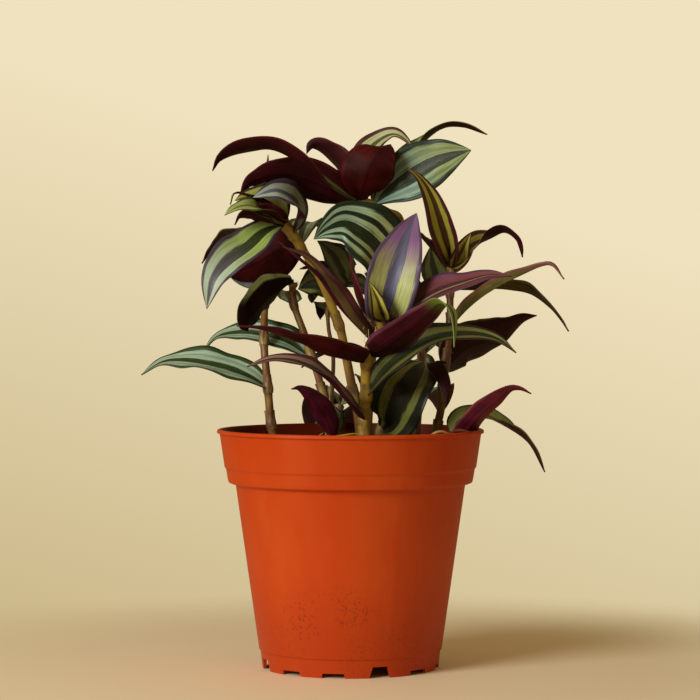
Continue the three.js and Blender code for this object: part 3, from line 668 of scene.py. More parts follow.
leafyStems = [
    dict(
        name="shoot_left", joints=[0.27, 0.55],
        stem=[(-34, 6, 97), (-36, 6, 110), (-37, 6, 122), (-39, 8, 144), (-39, 18, 165), (-38, 25, 188),
              (-37, 29, 204)],
        leaves=[
            leaf("paleGreen", 0.39, 19, [(-45, 4, 130), (-56, 5, 134), (-70, 8, 137), (-84, 11, 137),
                 (-95, 12, 131)], roll=(-35, -35), wave=0.07),
            leaf("olive", 1, 6, [(-37, 30, 214), (-38, 31, 224), (-38, 31, 232)], heading=90, fold=50),
            leaf("oliveBack", 0.91, 16, [(-49, 30, 196), (-60, 36, 193), (-69, 38, 182)], roll=(0, -10)),
            leaf("paleGreen", 0.69, 20, [(-41, 28, 173), (-44, 44, 178), (-48, 60, 172)]),
        ],
    ),
    dict(
        name="shoot_left_middle", joints=[0.3, 0.48],
        stem=[(-8, 6, 97), (-10, 6, 110), (-13, 6, 125), (-21, 8, 150), (-26, 10, 164), (-26, 10, 173)],
        leaves=[
            leaf("paleGreen", 0.65, 17, [(-28, 14, 146), (-39, 20, 149), (-50, 24, 150), (-61, 26, 148),
                 (-68, 27, 141)], roll=(-42, -38)),
            leaf("greenRim", 1, 23, [(-29, 4, 172), (-36, -3, 167), (-42, -7, 161), (-46, -9, 155),
                 (-46, -9, 151)], roll=(48, 74), widest=0.6, plump=0.65),
            leaf("paleGreen", 0.9, 12, [(-28, 22, 165), (-30, 33, 169), (-30, 44, 165)], roll=(0, 14)),
        ],
    ),
    dict(
        name="shoot_left_high", radius=2.3, joints=[0.35, 0.6],
        stem=[(5, 16, 97), (3, 14, 115), (0, 12, 129), (-5, 8, 153), (-14, 2, 175), (-23, -4, 190),
              (-30, -8, 200)],
        leaves=[
            leaf("silverLime", 0.99, 19, [(-38, -15, 195), (-46, -21, 188), (-54, -26, 182),
                 (-60, -29, 174), (-63, -29, 161)], roll=(-42, -46), widest=0.46),
            leaf("lime", 0.99, 21, [(-35, -13, 206), (-41, -17, 208.5), (-46, -19, 209.5), (-51, -21, 209)],
                 roll=(-66, -66)),
            leaf("blueSilver", 0.95, 18, [(-23, -9, 205), (-26, -15, 210), (-32, -20, 213), (-38, -22, 212),
                 (-43, -22, 210)], roll=(-55, -60)),
            leaf("limeCurl", 0.99, 15, [(-37, -19, 203), (-44, -26, 206), (-50, -30, 205), (-55, -32, 202)],
                 roll=(-15, -35), wave=0.09),
            leaf("maroon", 0.97, 13, [(-35, -14, 201), (-42, -19, 203), (-48, -22, 202), (-51, -23, 198)],
                 roll=(45, 40)),
            leaf("redBack", 0.94, 30, [(-29, 4, 190), (-37, 7, 185), (-46, 8, 180), (-55, 7, 176)],
                 roll=(64, 62), widest=0.6, plump=0.7),
            leaf("paleGreen", 0.9, 15, [(-21, 8, 198), (-16, 20, 200), (-11, 30, 196)]),
        ],
    ),
    dict(
        name="shoot_thin", radius=1.1, joints=[0.45],
        stem=[(-9, 16, 97), (-9, 16, 110), (-9, 16, 121), (-8, 17, 131), (-8, 18, 142), (-10, 19, 152),
              (-10, 20, 163), (-7, 20, 169), (-2, 20, 173)],
        leaves=[
            leaf("darkGreen", 0.9, 23, [(-11, 22, 171), (-17, 24, 172), (-24, 25, 170)], roll=(-66, -66)),
            leaf("darkGreen", 0.84, 13, [(-11, 25, 164), (-13, 27, 160), (-14, 27, 156)], roll=(-20, -20)),
            leaf("darkOlive", 1, 20, [(-4, 18, 177), (-6, 18, 181), (-10, 16, 187), (-15, 15, 192)],
                 roll=(-60, -60)),
            leaf("darkOlive", 0.97, 15, [(3, 22, 172), (8, 24, 168), (12, 25, 162)], roll=(30, 30)),
        ],
    ),
    dict(
        name="shoot_front", radius=2.7, joints=[0.35],
        stem=[(6, -14, 97), (6, -15, 111), (7, -16, 123), (7, -19, 137), (10, -23, 146), (15, -27, 157)],
        leaves=[
            leaf("dustyPurple", 0.44, 17, [(-2, -24, 121), (-10, -30, 130), (-21, -34, 137),
                 (-33, -36, 139), (-45, -38, 136)], roll=(-25, -25)),
            leaf("darkGreen", 0.57, 19, [(15, -24, 133), (24, -30, 141), (37, -34, 148), (51, -36, 150),
                 (63, -38, 148), (72, -40, 142)], roll=(55, 25)),
            leaf("maroon", 0.74, 15, [(-1, -32, 140), (-11, -46, 144), (-22, -58, 148), (-33, -66, 152),
                 (-48, -72, 154)], roll=(24, 24), widest=0.2),
            leaf("maroonGreen", 0.77, 17, [(15, -32, 144), (24, -48, 151), (32, -61, 158), (38, -69, 163.5),
                 (42.5, -74, 160), (43.5, -76, 152), (43.5, -76, 145)], roll=(-35, -20), widest=0.25),
            leaf("plumOlive", 0.86, 14, [(1, -32, 156), (-6, -38, 166), (-12, -42, 175), (-19, -44, 183),
                 (-29, -46, 188)], roll=(-10, -10), fold=40),
            leaf("orchid", 0.96, 19, [(26, -35, 161), (38, -44, 168), (49, -50, 172), (59, -54, 175),
                 (69, -56, 175)], roll=(48, 40)),
            leaf("bloom", 1, 25, [(16, -37, 164), (19, -39, 176), (23, -36, 188), (26, -31, 196),
                 (29, -27, 203)], heading=90, fold=22, plump=0.85),
            leaf("youngLime", 1, 11, [(13, -39, 162), (11, -43, 167), (8, -45, 173)], heading=90, fold=40),
            leaf("maroon", 1, 14, [(7, -24, 159), (3, -20, 166), (1, -16, 175), (0, -12, 183),
                 (-2, -10, 190)], roll=(55, 30)),
        ],
    ),
    dict(
        name="shoot_middle", joints=[0.6],
        stem=[(12, 4, 97), (15, 4, 111), (19, 2, 133), (21, -2, 151), (20, -8, 169)],
        leaves=[
            leaf("deepGreen", 1, 34, [(16, -14, 180), (12, -19, 187.5), (5, -23, 194), (-3, -26, 198),
                 (-11, -29, 195.5), (-16, -31, 191.5)], roll=(-80, -80), widest=0.4),
            leaf("stripedNight", 0.34, 30, [(18, -4, 109), (21, -9, 117), (25, -10, 126), (30, -4, 133),
                 (33, 4, 137)], roll=(68, 60), widest=0.5, plump=0.75),
        ],
    ),
    dict(
        name="shoot_top", joints=[0.25, 0.45, 0.65],
        stem=[(21, 22, 97), (24, 24, 123), (24, 28, 156), (24, 29, 181), (23, 16, 201), (17, 9, 205),
              (10, 4, 208), (3, 1, 209)],
        leaves=[
            leaf("wineBack", 1, 15, [(-5, -11, 213), (-13, -19, 218.5), (-22, -26, 225), (-34, -31, 231.5),
                 (-47, -34, 231), (-56, -36, 227), (-60, -37, 221)], roll=(-72, 66), widest=0.58),
            leaf("wineBack", 1, 20, [(-6, -3, 213), (-15, -6, 217), (-24, -9, 220), (-34, -11, 221),
                 (-41, -12, 219), (-45, -13, 217), (-49, -14, 212)], roll=(58, 64), widest=0.36,
                 plump=0.88),
            leaf("wineBack", 0.99, 17, [(-2, 10, 220), (-5, 13, 227), (-9, 15, 232), (-14, 16, 235.5),
                 (-18, 16, 235.5), (-20, 16, 231.5)], roll=(62, 62)),
            leaf("scarletBack", 0.99, 25, [(5, -4, 213), (7, -8, 220), (10, -9, 227), (14, -7, 232),
                 (18, -3, 234.5)], heading=-90, widest=0.5, plump=0.65),
            leaf("roseSilver", 0.97, 15, [(5, 13, 222), (8, 16, 232), (14, 17, 238), (20, 14, 240),
                 (25, 9, 237), (28, 5, 233)], roll=(50, 40)),
            leaf("silver", 0.95, 26, [(19, 2, 215), (30, 0, 222), (41, -2, 228), (54, -4, 232)],
                 roll=(78, 78), widest=0.5, plump=0.88),
            leaf("mintBack", 0.95, 17, [(20, 14, 224), (31, 17, 235), (41, 17, 243), (51, 15, 244),
                 (62, 11, 240)], roll=(42, -28)),
        ],
    ),
    dict(
        name="shoot_right", joints=[0.3, 0.45],
        stem=[(38, 4, 97), (39, 4, 106), (41, 4, 117), (42, 4, 131), (45, 5, 153), (45, 7, 169),
              (46, 8, 180)],
        leaves=[
            leaf("oliveMaroon", 1, 16, [(44, -1, 189), (41, -6, 198), (38, -11, 207), (34, -15, 215),
                 (30, -18, 220), (25, -19, 223)], heading=90, fold=42),
            leaf("oliveMaroon", 1, 18, [(51, 3, 184), (55, 2, 189), (63, 0, 193), (69, -2, 195.5),
                 (74, -4, 192.5), (76, -5, 188), (77, -5, 184)], roll=(85, -60), widest=0.34),
            leaf("youngLime", 1, 11, [(49, 0, 186), (51, -3, 190), (54, -4, 195)], heading=90, fold=34),
            leaf("nightBack", 0.98, 16, [(40, 16, 185), (35, 21, 191), (30, 24, 197)], roll=(40, 40)),
            leaf("darkOlive", 0.89, 18, [(41, 20, 172), (38, 28, 180), (37, 34, 190)]),
            leaf("oliveNight", 0.91, 15, [(54, 6, 170), (63, 4, 171), (72, 2, 170), (81, 0, 168),
                 (89, -6, 162), (94, -9, 156), (97, -13, 151)], roll=(-24, -20)),
            leaf("oliveRose", 0.75, 9, [(52, -3, 161), (59, -9, 167), (67, -13, 172), (75, -18, 176),
                 (84, -22, 180), (89, -24, 180), (94, -25, 174)], fold=52),
            leaf("nightBack", 0.57, 25, [(52, 9, 143), (61, 13, 146), (70, 15, 151), (78, 16, 156),
                 (85, 17, 158)], roll=(-60, -55), widest=0.3),
            leaf("nightBack", 0.6, 8, [(38, -8, 137), (40, -15, 133), (42, -19, 127), (42.5, -20, 121),
                 (42, -20, 117.5)], heading=90, plump=0.7),
        ],
    ),
    dict(
        name="shoot_right_low", radius=1.7,
        stem=[(44, -7, 97), (46, -8, 106)],
        leaves=[
            leaf("oliveBack", 0.99, 17, [(50, -6, 111), (59, -5, 113), (69, -5, 109), (80, -6, 101),
                 (87, -7, 88)], roll=(38, -28), widest=0.28),
            leaf("roseBack", 0.7, 13, [(51, -15, 106), (57, -19, 113.5), (63, -21, 119.5), (70, -21, 125),
                 (75, -20, 125.5), (80, -19, 123.5)], roll=(-35, -35)),
        ],
    ),
    dict(
        name="shoot_base_left", radius=1.5,
        stem=[(-7, -21, 97), (-8, -22, 105)],
        leaves=[
            leaf("purpleBack", 0.93, 11, [(-9.5, -25, 110), (-13, -28, 117), (-17, -30, 122.5),
                 (-22, -31, 126), (-26, -31, 126)], roll=(48, 48), widest=0.42),
            leaf("darkOlive", 0.99, 8, [(-6, -18, 111), (-8, -14, 119)], heading=90),
        ],
    ),
]
backStems = [
    dict(
        name="shoot_back_middle", stem=[(8, 34, 97), (9, 36, 120), (10, 38, 150), (9, 40, 178)],
        leafCount=5, firstLeaf=0.5, heading=100, spread=34, leafLength=42, seed=564,
    ),
    dict(
        name="shoot_back_right", stem=[(30, 32, 97), (32, 35, 118), (33, 38, 136), (33, 40, 149)],
        leafCount=4, firstLeaf=0.6, heading=80, spread=30, leafLength=41, seed=80,
    ),
    dict(
        name="shoot_back_low", stem=[(-8, 34, 97), (-7, 37, 108), (-5, 40, 116)],
        leafCount=3, firstLeaf=0.7, heading=100, spread=22, leafLength=36, seed=357,
    ),
]
# The shape of a leaf on the stems at the back, and how much each of its measures differs from leaf to leaf
backForm = dict(
    reach=0.92, rise=0.7, droop=0.78, width=18, lean=22, tipLean=1.6, wave=0.06,
    spreadShare=0.55, lengthShare=0.2, riseShare=0.35, widthShare=0.22, pointShares=(0.3, 0.6, 0.83, 1),
    looks=["silver", "paleGreen", "deepGreen", "oliveMaroon", "darkGreen"],
)

# Small parts that only this model has: thin tips and curls beside the big leaves, roots, runners, dry bits
threadColours = dict(
    root=fromScreen(196, 180, 128), runner=fromScreen(156, 150, 44), tan=fromScreen(178, 132, 84),
    hair=fromScreen(206, 196, 170),
)
looseParts = dict(
    shoot_front=dict(
        leaves=[
            leaf("plum", 0.86, 5, [(-4, -35, 161), (-14, -42, 175), (-24, -45, 184), (-31, -45, 190)],
                 fold=40),
        ],
        threads=[
            ("root", 0.28, [(9, -25, 155), (7, -29, 155), (5.5, -31, 152)]),
            ("root", 0.24, [(9, -25, 153), (8, -29, 152), (8, -31, 148)]),
            ("root", 0.24, [(10, -25, 154), (11, -29, 152.5), (10.5, -31, 149)]),
            ("root", 0.2, [(9, -24, 151), (6.5, -28, 149), (6, -29, 146)]),
        ],
    ),
    shoot_left_high=dict(
        leaves=[
            leaf("lime", 0.99, 6, [(-37, -15, 207), (-45, -19, 211), (-51, -21, 212), (-53, -21, 207)]),
        ],
    ),
    shoot_thin=dict(
        leaves=[leaf("lime", 0.93, 8, [(-12, 15, 175), (-18, 12, 180), (-23, 10, 179)], heading=90)],
    ),
    shoot_base_left=dict(
        threads=[
            ("runner", 0.6, [(-18, -36, 97), (-12, -38, 104), (-4, -39, 106), (4, -39, 106.5),
                             (10, -37, 102)]),
            ("root", 0.3, [(-14, -30, 97), (-15, -33, 104), (-12, -36, 107)]),
        ],
    ),
    shoot_right_low=dict(
        leaves=[leaf("dry", 0.4, 7, [(44, -20, 104), (47, -28, 108), (53, -30, 107)], heading=90, fold=45)],
        threads=[
            ("tan", 1.0, [(34, -32, 98), (35, -34, 105), (39, -35, 107.5), (43, -34, 106), (45, -32, 100)]),
        ],
    ),
)


def seededShares(seed):
    # The same run of numbers between 0 and 1 as the solids use, from the same seed
    factor, span = 16807, 2147483647
    state = seed
    while True:
        state = state * factor % span
        yield state / span


def stemCurve(stem):
    x, y, _ = stem[0]
    root = stemShape["rootBottom"]
    return curveThrough([(x, y, root), (x, y, (root + soil["edgeHeight"]) / 2), *stem])


def backShoot(row):
    # Leaves stand by turns to the left and to the right of the heading, rise and hang, no two of them alike
    shares = seededShares(row["seed"])

    def around(middle, share):
        return middle * (1 + share * (2 * next(shares) - 1))

    path = stemCurve(row["stem"])
    leaves = []
    for k in range(row["leafCount"]):
        at = row["firstLeaf"] + (1 - row["firstLeaf"]) * k / (row["leafCount"] - 1)
        base = pointAt(path, at)
        swing = (1 if k % 2 else -1) * around(row["spread"], backForm["spreadShare"])
        turn = math.radians(row["heading"] + swing)
        length = around(row["leafLength"], backForm["lengthShare"])
        rise = around(backForm["rise"], backForm["riseShare"])
        droop = around(backForm["droop"], backForm["riseShare"])
        curl = next(shares) - 0.5
        points = [
            (
                base.x + length * backForm["reach"] * share * math.cos(turn + curl * share * share),
                base.y + length * backForm["reach"] * share * math.sin(turn + curl * share * share),
                base.z + length * (rise * share - droop * share * share),
            )
            for share in backForm["pointShares"]
        ]
        lean = 2 * backForm["lean"] * (next(shares) - 0.5)
        width = around(backForm["width"], backForm["widthShare"])
        lookName = backForm["looks"][k % len(backForm["looks"])]
        roll = (lean, backForm["tipLean"] * lean)
        leaves.append(leaf(lookName, at, width, points, roll=roll, wave=backForm["wave"]))
    return dict(name=row["name"], stem=row["stem"], leaves=leaves)


# Leaves and stems: materials
# A grain is a scale, a detail, a roughness and a stretch: across, along and from leaf to leaf. A shade is
# where it starts and ends, and how dark and how light it makes the colour.

leafTopFinish = dict(
    veins=(1.0, 2, 0.6, (46, 2.2, 9)), fibres=(1.0, 2, 0.6, (150, 7, 9)), drift=(1.0, 2, 0.5, (3, 4.5, 9)),
    veinWander=0.24, driftWander=0.22, stripeEdge=(-0.035, 0.035),
    fibreShade=(0.3, 0.7, 0.72, 1.12), veinShade=(0.3, 0.7, 0.8, 1.12),
    flecks=((1.0, 3, 0.7, (90, 10, 9)), (0.58, 0.72, 0.0, 0.3)),
    darkLine=(0.11, 0.055), ribLine=(0.085, 0.03), ribColour=fromScreen(168, 164, 132),
    roughness=(0.3, 0.52), bump=(0.35, 0.00025),
)
undersideFinish = dict(
    veins=(1.0, 3, 0.6, (30, 1.6, 9)), veinShade=(0.25, 0.75, 0.75, 1.3),
    edgeFade=(0.04, 0.18), creaseShade=(0.0, 0.07, 0.45, 1.0),
    softShade=((1.0, 2, 0.5, (2, 4, 9)), (0.35, 0.65, 0.6, 1.25)),
    roughness=(0.46, 0.64), bump=(0.3, 0.0003),
)
stemFinish = dict(
    olive=fromScreen(146, 124, 34), brown=fromScreen(112, 74, 38), rose=fromScreen(136, 88, 64),
    joint=fromScreen(78, 42, 34), fresh=fromScreen(208, 174, 58),
    sheathDark=fromScreen(104, 66, 54), sheathLight=fromScreen(150, 128, 62),
    streaks=(1.0, 3, 0.6, (7, 9, 9)), streakRange=(0.5, 0.72), sheathRange=(0.42, 0.6),
    blotches=(1.0, 3, 0.6, (2, 26, 9)), blotchRange=(0.5, 0.7),
    stretches=((1.0, 2, 0.5, (0.6, 5, 9)), (0.32, 0.52)),
    freshBlotches=(0.62, 0.48, 0.55, 1.0), jointShare=0.7, sheathFresh=0.6,
    roughness=(0.32, 0.5), bump=(0.3, 0.0004),
)
threadFinish = dict(mottle=(900, 3, 0.6), shade=(0.6, 1.3))


def leafPlace(tree):
    # u across the leaf, and a place made of it, of t from base to tip and of a phase that sets leaves apart
    u, t, _ = partsOf(addNode(tree, "UVMap", uv_map="leafPlace").outputs[0])
    phase = readAttribute(tree, "leafPhase", "Fac")
    return u, addNode(tree, "CombineXYZ", {0: u, 1: t, 2: phase}).outputs[0]


def outFromMidrib(u):
    # 0 at the midrib and 1 at both edges
    return reckon("ABSOLUTE", times(minus(u, 0.5), 2.0))


def makeLeafTop():
    finish = leafTopFinish
    made, tree, shader = newMaterial(
        "leafTop", {"Specular IOR Level": 0.4, "Coat Weight": 0.06, "Coat Roughness": 0.3},
    )
    u, place = leafPlace(tree)
    across = outFromMidrib(u)
    veins = grain(place, *finish["veins"])
    fibres = grain(place, *finish["fibres"])
    drift = grain(place, *finish["drift"])
    # The stripes' edges wander with the veins
    veinWander = times(minus(veins, 0.5), finish["veinWander"])
    driftWander = times(minus(drift, 0.5), finish["driftWander"])
    moved = reckon("ADD", across, reckon("ADD", veinWander, driftWander))
    inner, outer, rib = partsOf(readAttribute(tree, "stripeEdges", "Vector"))
    fromInner = smoothStep(minus(moved, inner), *finish["stripeEdge"])
    pastOuter = smoothStep(minus(moved, outer), *finish["stripeEdge"])
    shade = times(smoothStep(fibres, *finish["fibreShade"]), smoothStep(veins, *finish["veinShade"]))
    band, margin = readAttribute(tree, "bandColour"), readAttribute(tree, "marginColour")
    # Short pale flecks of the band's colour lie in the dark parts too
    striped = blendColours(fromInner, readAttribute(tree, "centreColour"), band)
    colour = blendColours(patches(place, finish["flecks"]), striped, band)
    colour = blendColours(pastOuter, colour, margin)
    # A dark line along the middle of the band where rib is below 0, and a pale midrib where it is above
    halfway = times(reckon("ADD", inner, outer), 0.5)
    fromHalfway = reckon("ABSOLUTE", minus(moved, halfway))
    split = reckon("MAXIMUM", times(rib, -1.0), 0.0)
    darkLine = times(smoothStep(fromHalfway, *finish["darkLine"]), split)
    colour = blendColours(darkLine, colour, margin)
    clear = reckon("MAXIMUM", rib, 0.0)
    ribLine = times(smoothStep(across, *finish["ribLine"]), clear)
    colour = blendColours(ribLine, colour, finish["ribColour"])
    roughness = spread(fibres, *finish["roughness"])
    feed(shader, {"Base Color": shaded(colour, shade), "Roughness": roughness})
    addBump(shader, reckon("ADD", fibres, veins), *finish["bump"])
    return made


def makeLeafUnderside():
    finish = undersideFinish
    made, tree, shader = newMaterial("leafUnderside", {"Specular IOR Level": 0.12})
    u, place = leafPlace(tree)
    across = outFromMidrib(u)
    veins = grain(place, *finish["veins"])
    outer = partsOf(readAttribute(tree, "stripeEdges", "Vector"))["Y"]
    rim = smoothStep(minus(across, outer), *finish["edgeFade"])
    colour = blendColours(rim, readAttribute(tree, "underColour"), readAttribute(tree, "underEdge"))
    # Painted shade along the midrib's crease, and darker in soft patches
    crease = smoothStep(across, *finish["creaseShade"])
    shade = times(smoothStep(veins, *finish["veinShade"]), crease)
    shade = times(shade, patches(place, finish["softShade"]))
    roughness = spread(veins, *finish["roughness"])
    feed(shader, {"Base Color": shaded(colour, shade), "Roughness": roughness})
    addBump(shader, veins, *finish["bump"])
    return made


def makeStemSkin():
    finish = stemFinish
    made, tree, shader = newMaterial("stemSkin", {"Specular IOR Level": 0.5})
    _, place = leafPlace(tree)
    streaks = grain(place, *finish["streaks"])
    blotches = grain(place, *finish["blotches"])
    # Olive and brown stretches, with rosy streaks and dark spots
    olive = blendColours(patches(place, finish["stretches"]), finish["olive"], finish["brown"])
    olive = blendColours(smoothStep(blotches, *finish["blotchRange"]), olive, finish["brown"])
    skin = blendColours(smoothStep(streaks, *finish["streakRange"]), olive, finish["rose"])
    fresh = smoothStep(blotches, *finish["freshBlotches"])
    fresh = times(fresh, readAttribute(tree, "freshShare", "Fac"))
    skin = blendColours(fresh, skin, finish["fresh"])
    jointed = times(readAttribute(tree, "jointShare", "Fac"), finish["jointShare"])
    skin = blendColours(jointed, skin, finish["joint"])
    # The papery sheath is striped
    stripes = smoothStep(streaks, *finish["sheathRange"])
    sheath = blendColours(stripes, finish["sheathDark"], finish["sheathLight"])
    sheath = blendColours(times(fresh, finish["sheathFresh"]), sheath, finish["fresh"])
    colour = blendColours(readAttribute(tree, "sheathShare", "Fac"), skin, sheath)
    feed(shader, {"Base Color": colour, "Roughness": spread(streaks, *finish["roughness"])})
    addBump(shader, streaks, *finish["bump"])
    return made


def makeThreadSkin():
    # Roots, runners, hairs and dry bits, each in the colour of its own attribute
    made, tree, shader = newMaterial("threadSkin", {"Specular IOR Level": 0.3, "Roughness": 0.6})
    mottle = spread(grain(objectPlace(tree), *threadFinish["mottle"]), *threadFinish["shade"])
    feed(shader, {"Base Color": shaded(readAttribute(tree, "bandColour"), mottle)})
    return made


leafMaterials = [makeLeafTop(), makeLeafUnderside(), makeStemSkin(), makeThreadSkin()]
topIndex, undersideIndex, stemIndex, threadIndex = 0, 1, 2, 3
colourLayers = ["bandColour", "centreColour", "marginColour", "underColour", "underEdge"]
shareLayers = ["leafPhase", "jointShare", "sheathShare", "freshShare"]


# Leaves and stems: making

def openShoot():
    bm = bmesh.new()
    layers = {name: bm.verts.layers.float_color.new(name) for name in colourLayers}
    for name in shareLayers:
        layers[name] = bm.verts.layers.float.new(name)
    layers["stripeEdges"] = bm.verts.layers.float_vector.new("stripeEdges")
    layers["leafPlace"] = bm.loops.layers.uv.new("leafPlace")
    return bm, layers


def facesOf(verts):
    return {face for vert in verts for face in vert.link_faces}


def addTube(bm, layers, curve, radiusAt, start=0, end=1, phase=0.0, sheath=0.0, jointAt=None,
            sides=stemShape["sides"], closed=True):
    # A flat grid rolled into a tube along part of a curve, its two long edges joined
    rings = max(3, round((end - start) * curve["length"] / stemShape["ringSpacing"]))
    made = bmesh.ops.create_grid(bm, x_segments=sides, y_segments=rings, size=1)["verts"]
    for face in facesOf(made):
        face.material_index = stemIndex
        for loop in face.loops:
            u, v = (loop.vert.co.x + 1) / 2, (loop.vert.co.y + 1) / 2
            reached = (start + (end - start) * v) * curve["length"]
            loop[layers["leafPlace"]].uv = (u, reached / stemShape["grainLength"])
    for vert in made:
        turn = (vert.co.x + 1) * math.pi
        t = start + (end - start) * (vert.co.y + 1) / 2
        vert[layers["leafPhase"]] = phase
        vert[layers["sheathShare"]] = sheath
        vert[layers["jointShare"]] = jointAt(t) if jointAt else 0.0
        vert.co = (pointAt(curve, t) + outwardAt(alongAt(curve, t), turn) * radiusAt(t, turn)) * mm
    merged = bmesh.ops.find_doubles(bm, verts=made, dist=1e-6)["targetmap"]
    bmesh.ops.weld_verts(bm, targetmap=merged)
    kept = [vert for vert in made if vert.is_valid]
    if closed:
        ends = {edge for vert in kept for edge in vert.link_edges if edge.is_boundary}
        for face in bmesh.ops.holes_fill(bm, edges=list(ends), sides=sides)["faces"]:
            face.material_index = stemIndex
    bmesh.ops.recalc_face_normals(bm, faces=list(facesOf(kept)))


def jointPlaces(row):
    return sorted({*row.get("joints", []), *[each["at"] for each in row["leaves"]]})


def addStem(bm, layers, row, path, phase):
    joints = jointPlaces(row)
    radius = row.get("radius", stemShape["radius"])
    reach = stemShape["jointHalfLength"] / path["length"]

    def jointAt(t):
        return max(math.exp(-((t - joint) / reach) ** 2) for joint in joints)

    def radiusAt(t, turn=0.0):
        size = radius * (1 - (1 - stemShape["tipShare"]) * t)
        waviness = stemShape["unevenness"] * math.sin(stemShape["lobes"] * turn + stemShape["bends"] * t)
        return size * (1 + stemShape["jointSwelling"] * jointAt(t) + waviness)

    addTube(bm, layers, path, radiusAt, phase=phase, jointAt=jointAt)
    sheathReach = stemShape["sheathLength"] / path["length"]
    below = stemShape["sheathBelow"]
    for joint in joints:
        # The leaf's sheath clasps the stem above the joint and opens a little at its mouth
        start = joint - below * sheathReach
        end = min(stemShape["lastMouth"], joint + (1 - below) * sheathReach)

        def sheathRadius(t, turn):
            share = (t - start) / (end - start)
            lean = stemShape["sheathLean"] * share ** 3 * math.cos(turn)
            return radiusAt(t) + stemShape["sheathGap"] * (stemShape["sheathFoot"] + share + lean)

        addTube(bm, layers, path, sheathRadius, start, end, phase + joint, 1.0, closed=False)


def addThread(bm, layers, tint, radius, points):
    # A thin tapering tube with its own colour
    before = set(bm.faces)

    def radiusAt(t, turn):
        return radius * (1 - stemShape["threadTaper"] * t)

    addTube(bm, layers, curveThrough(points), radiusAt, sides=stemShape["threadSides"])
    for face in set(bm.faces) - before:
        face.material_index = threadIndex
        for vert in face.verts:
            vert[layers["bandColour"]] = threadColours[tint]


def addHairs(bm, layers, path, joint, radius, draw):
    # Fine hairs that stand round the mouth of a sheath
    thick, thin = stemShape["hairRadii"]
    for _ in range(stemShape["hairs"]):
        t = min(stemShape["lastHair"], joint + draw.uniform(*stemShape["hairReach"]) / path["length"])
        along = alongAt(path, t)
        way = outwardAt(along, draw.uniform(0, math.tau)) + along * draw.uniform(*stemShape["hairLean"])
        way.normalize()
        root = pointAt(path, t) + way * radius
        lean = way.to_track_quat("Z", "Y").to_matrix().to_4x4()
        made = bmesh.ops.create_cone(
            bm, segments=3, radius1=thick * mm, radius2=thin * mm,
            depth=draw.uniform(*stemShape["hairLength"]) * mm,
            matrix=Matrix.Translation((root + way * stemShape["hairRise"]) * mm) @ lean,
        )["verts"]
        for vert in made:
            vert[layers["bandColour"]] = threadColours["hair"]
            for face in vert.link_faces:
                face.material_index = threadIndex


def leafSheet(bm, layers):
    # A flat sheet with an upper face at height 1 and a lower one at 0, before it is bent
    columns, rows = bladeForm["columns"], bladeForm["rows"]
    sheet = bmesh.ops.create_grid(bm, x_segments=columns, y_segments=rows, size=1)["verts"]
    raised = bmesh.ops.extrude_face_region(bm, geom=list(facesOf(sheet)))["geom"]
    upper = [item for item in raised if isinstance(item, bmesh.types.BMVert)]
    bmesh.ops.translate(bm, verts=upper, vec=(0, 0, 1))
    made = sheet + upper
    for face in facesOf(made):
        face.material_index = undersideIndex if all(vert.co.z < 0.5 for vert in face.verts) else topIndex
        for loop in face.loops:
            loop[layers["leafPlace"]].uv = ((loop.vert.co.x + 1) / 2, (1 - loop.vert.co.y) / 2)
    return made


def tintLeaf(vert, layers, tint, v, t):
    # The colours at v, from -1 at one edge to 1 at the other, and t, from base to tip
    edge = tint["underEdge"] if v * tint["edgeSide"] >= 0 else tint["under"]
    edge = mixed(tint["under"], edge, eased(t, tint["edgeFrom"], tint["edgeFrom"] + edgeTurn))
    for name, turn in tipTurns.items():
        vert[layers[name + "Colour"]] = mixed(tint[name], tint[name + "Tip"], eased(t, *turn))
    vert[layers["underEdge"]] = mixed(edge, tint["edgeTip"], eased(t, *tipTurns["under"]))
    vert[layers["stripeEdges"]] = tint["place"]


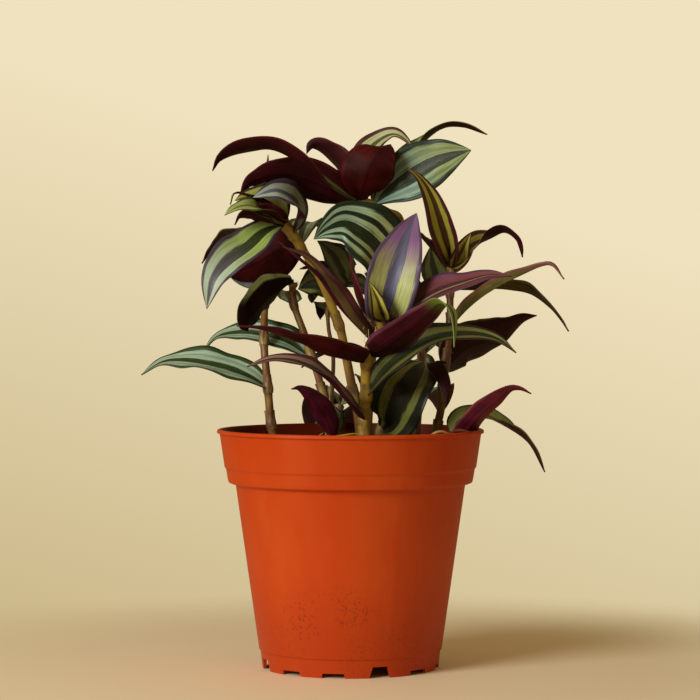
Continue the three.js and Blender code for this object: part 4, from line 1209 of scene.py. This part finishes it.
def addLeaf(bm, layers, row, base, phase):
    rib = curveThrough([base, *row["points"]])
    tint = leafLooks[row["look"]]
    tip = row["points"][-1]
    if "heading" in row:
        heading = math.radians(row["heading"])
    else:
        heading = math.atan2(tip[1] - base.y, tip[0] - base.x)
    roll = row.get("roll", (0, 0))
    fold = math.radians(row.get("fold", bladeForm["fold"]))
    wave, width = row.get("wave", bladeForm["wave"]), row["width"]
    widest, plump = row.get("widest", bladeForm["widest"]), row.get("plump", bladeForm["plump"])
    leafShift, sideShift = bladeForm["fineShifts"]

    def stationAt(t):
        # The midrib's place, the ways to the side and up, half the width and the bend at t along the leaf
        along = alongAt(rib, t)
        side = squareTo(Vector((-math.sin(heading), math.cos(heading), 0)), along)
        side.rotate(Quaternion(along, math.radians(roll[0] + (roll[1] - roll[0]) * t)))
        clasp = bladeForm["clasp"] * (1 - bladeForm["claspFade"] * t)
        half = max(width / 2 * bladeWidth(t, widest, plump), clasp, bladeForm["tipHalfWidth"])
        bend = fold * (1 + bladeForm["baseFold"] * math.exp(-bladeForm["baseFoldFade"] * t))
        return pointAt(rib, t), side, along.cross(side), half, bend

    made = leafSheet(bm, layers)
    stations = {}
    for vert in made:
        v, t, level = vert.co.x, (1 - vert.co.y) / 2, vert.co.z - 0.5
        key = round(t, 4)
        if key not in stations:
            stations[key] = stationAt(t)
        middle, side, up, half, bend = stations[key]
        swing = wave * math.sin(bladeForm["waveTurns"] * t + (bladeForm["waveShift"] if v > 0 else 0))
        fineTurn = bladeForm["fineTurns"] * t + leafShift * phase + sideShift * v
        swing += bladeForm["fineWave"] * math.sin(fineTurn)
        ripple = swing * width * v * v * math.sin(math.pi * t)
        groove = bladeForm["grooveDepth"] * math.exp(-((v / bladeForm["grooveWidth"]) ** 2)) * (1 - t)
        lift = half * math.sin(bend) * abs(v) ** bladeForm["crown"] + ripple - groove
        away = up * math.cos(bend * abs(v)) - side * math.sin(bend * v)
        depth = bladeForm["thickness"] * (1 - bladeForm["marginThinning"] * abs(v) ** 3) * level
        tintLeaf(vert, layers, tint, v, t)
        vert[layers["leafPhase"]] = phase
        vert.co = (middle + side * v * half * math.cos(bend) + up * lift + away * depth) * mm
    bmesh.ops.recalc_face_normals(bm, faces=list(facesOf(made)))


def makeShoot(row, number):
    bm, layers = openShoot()
    path = stemCurve(row["stem"])
    extras = looseParts.get(row["name"], {})
    stemPhase, leafPhase, extraPhase = number * 1.7, 0.61, 5.3
    addStem(bm, layers, row, path, stemPhase)
    for leaves, phase in ((row["leaves"], stemPhase), (extras.get("leaves", []), stemPhase + extraPhase)):
        for k, each in enumerate(leaves):
            addLeaf(bm, layers, each, pointAt(path, each["at"]), phase + k * leafPhase)
    for tint, radius, points in extras.get("threads", []):
        addThread(bm, layers, tint, radius, points)
    draw = random.Random(number)
    for joint in jointPlaces(row):
        addHairs(bm, layers, path, joint, row.get("radius", stemShape["radius"]), draw)
    foot, top = freshShares.get(row["name"], (0, 0))
    for vert in bm.verts:
        vert[layers["freshShare"]] = foot + (top - foot) * eased(vert.co.z / mm, *freshHeights)
    name = "leafy" + "".join(part.title() for part in row["name"].split("_")[1:]) + "Stem"
    finishPiece(bm, name, [row["name"]], leafMaterials)


allShoots = leafyStems + [backShoot(row) for row in backStems]
for number, row in enumerate(allShoots):
    makeShoot(row, number)
print("leafy stems made:", len(allShoots))
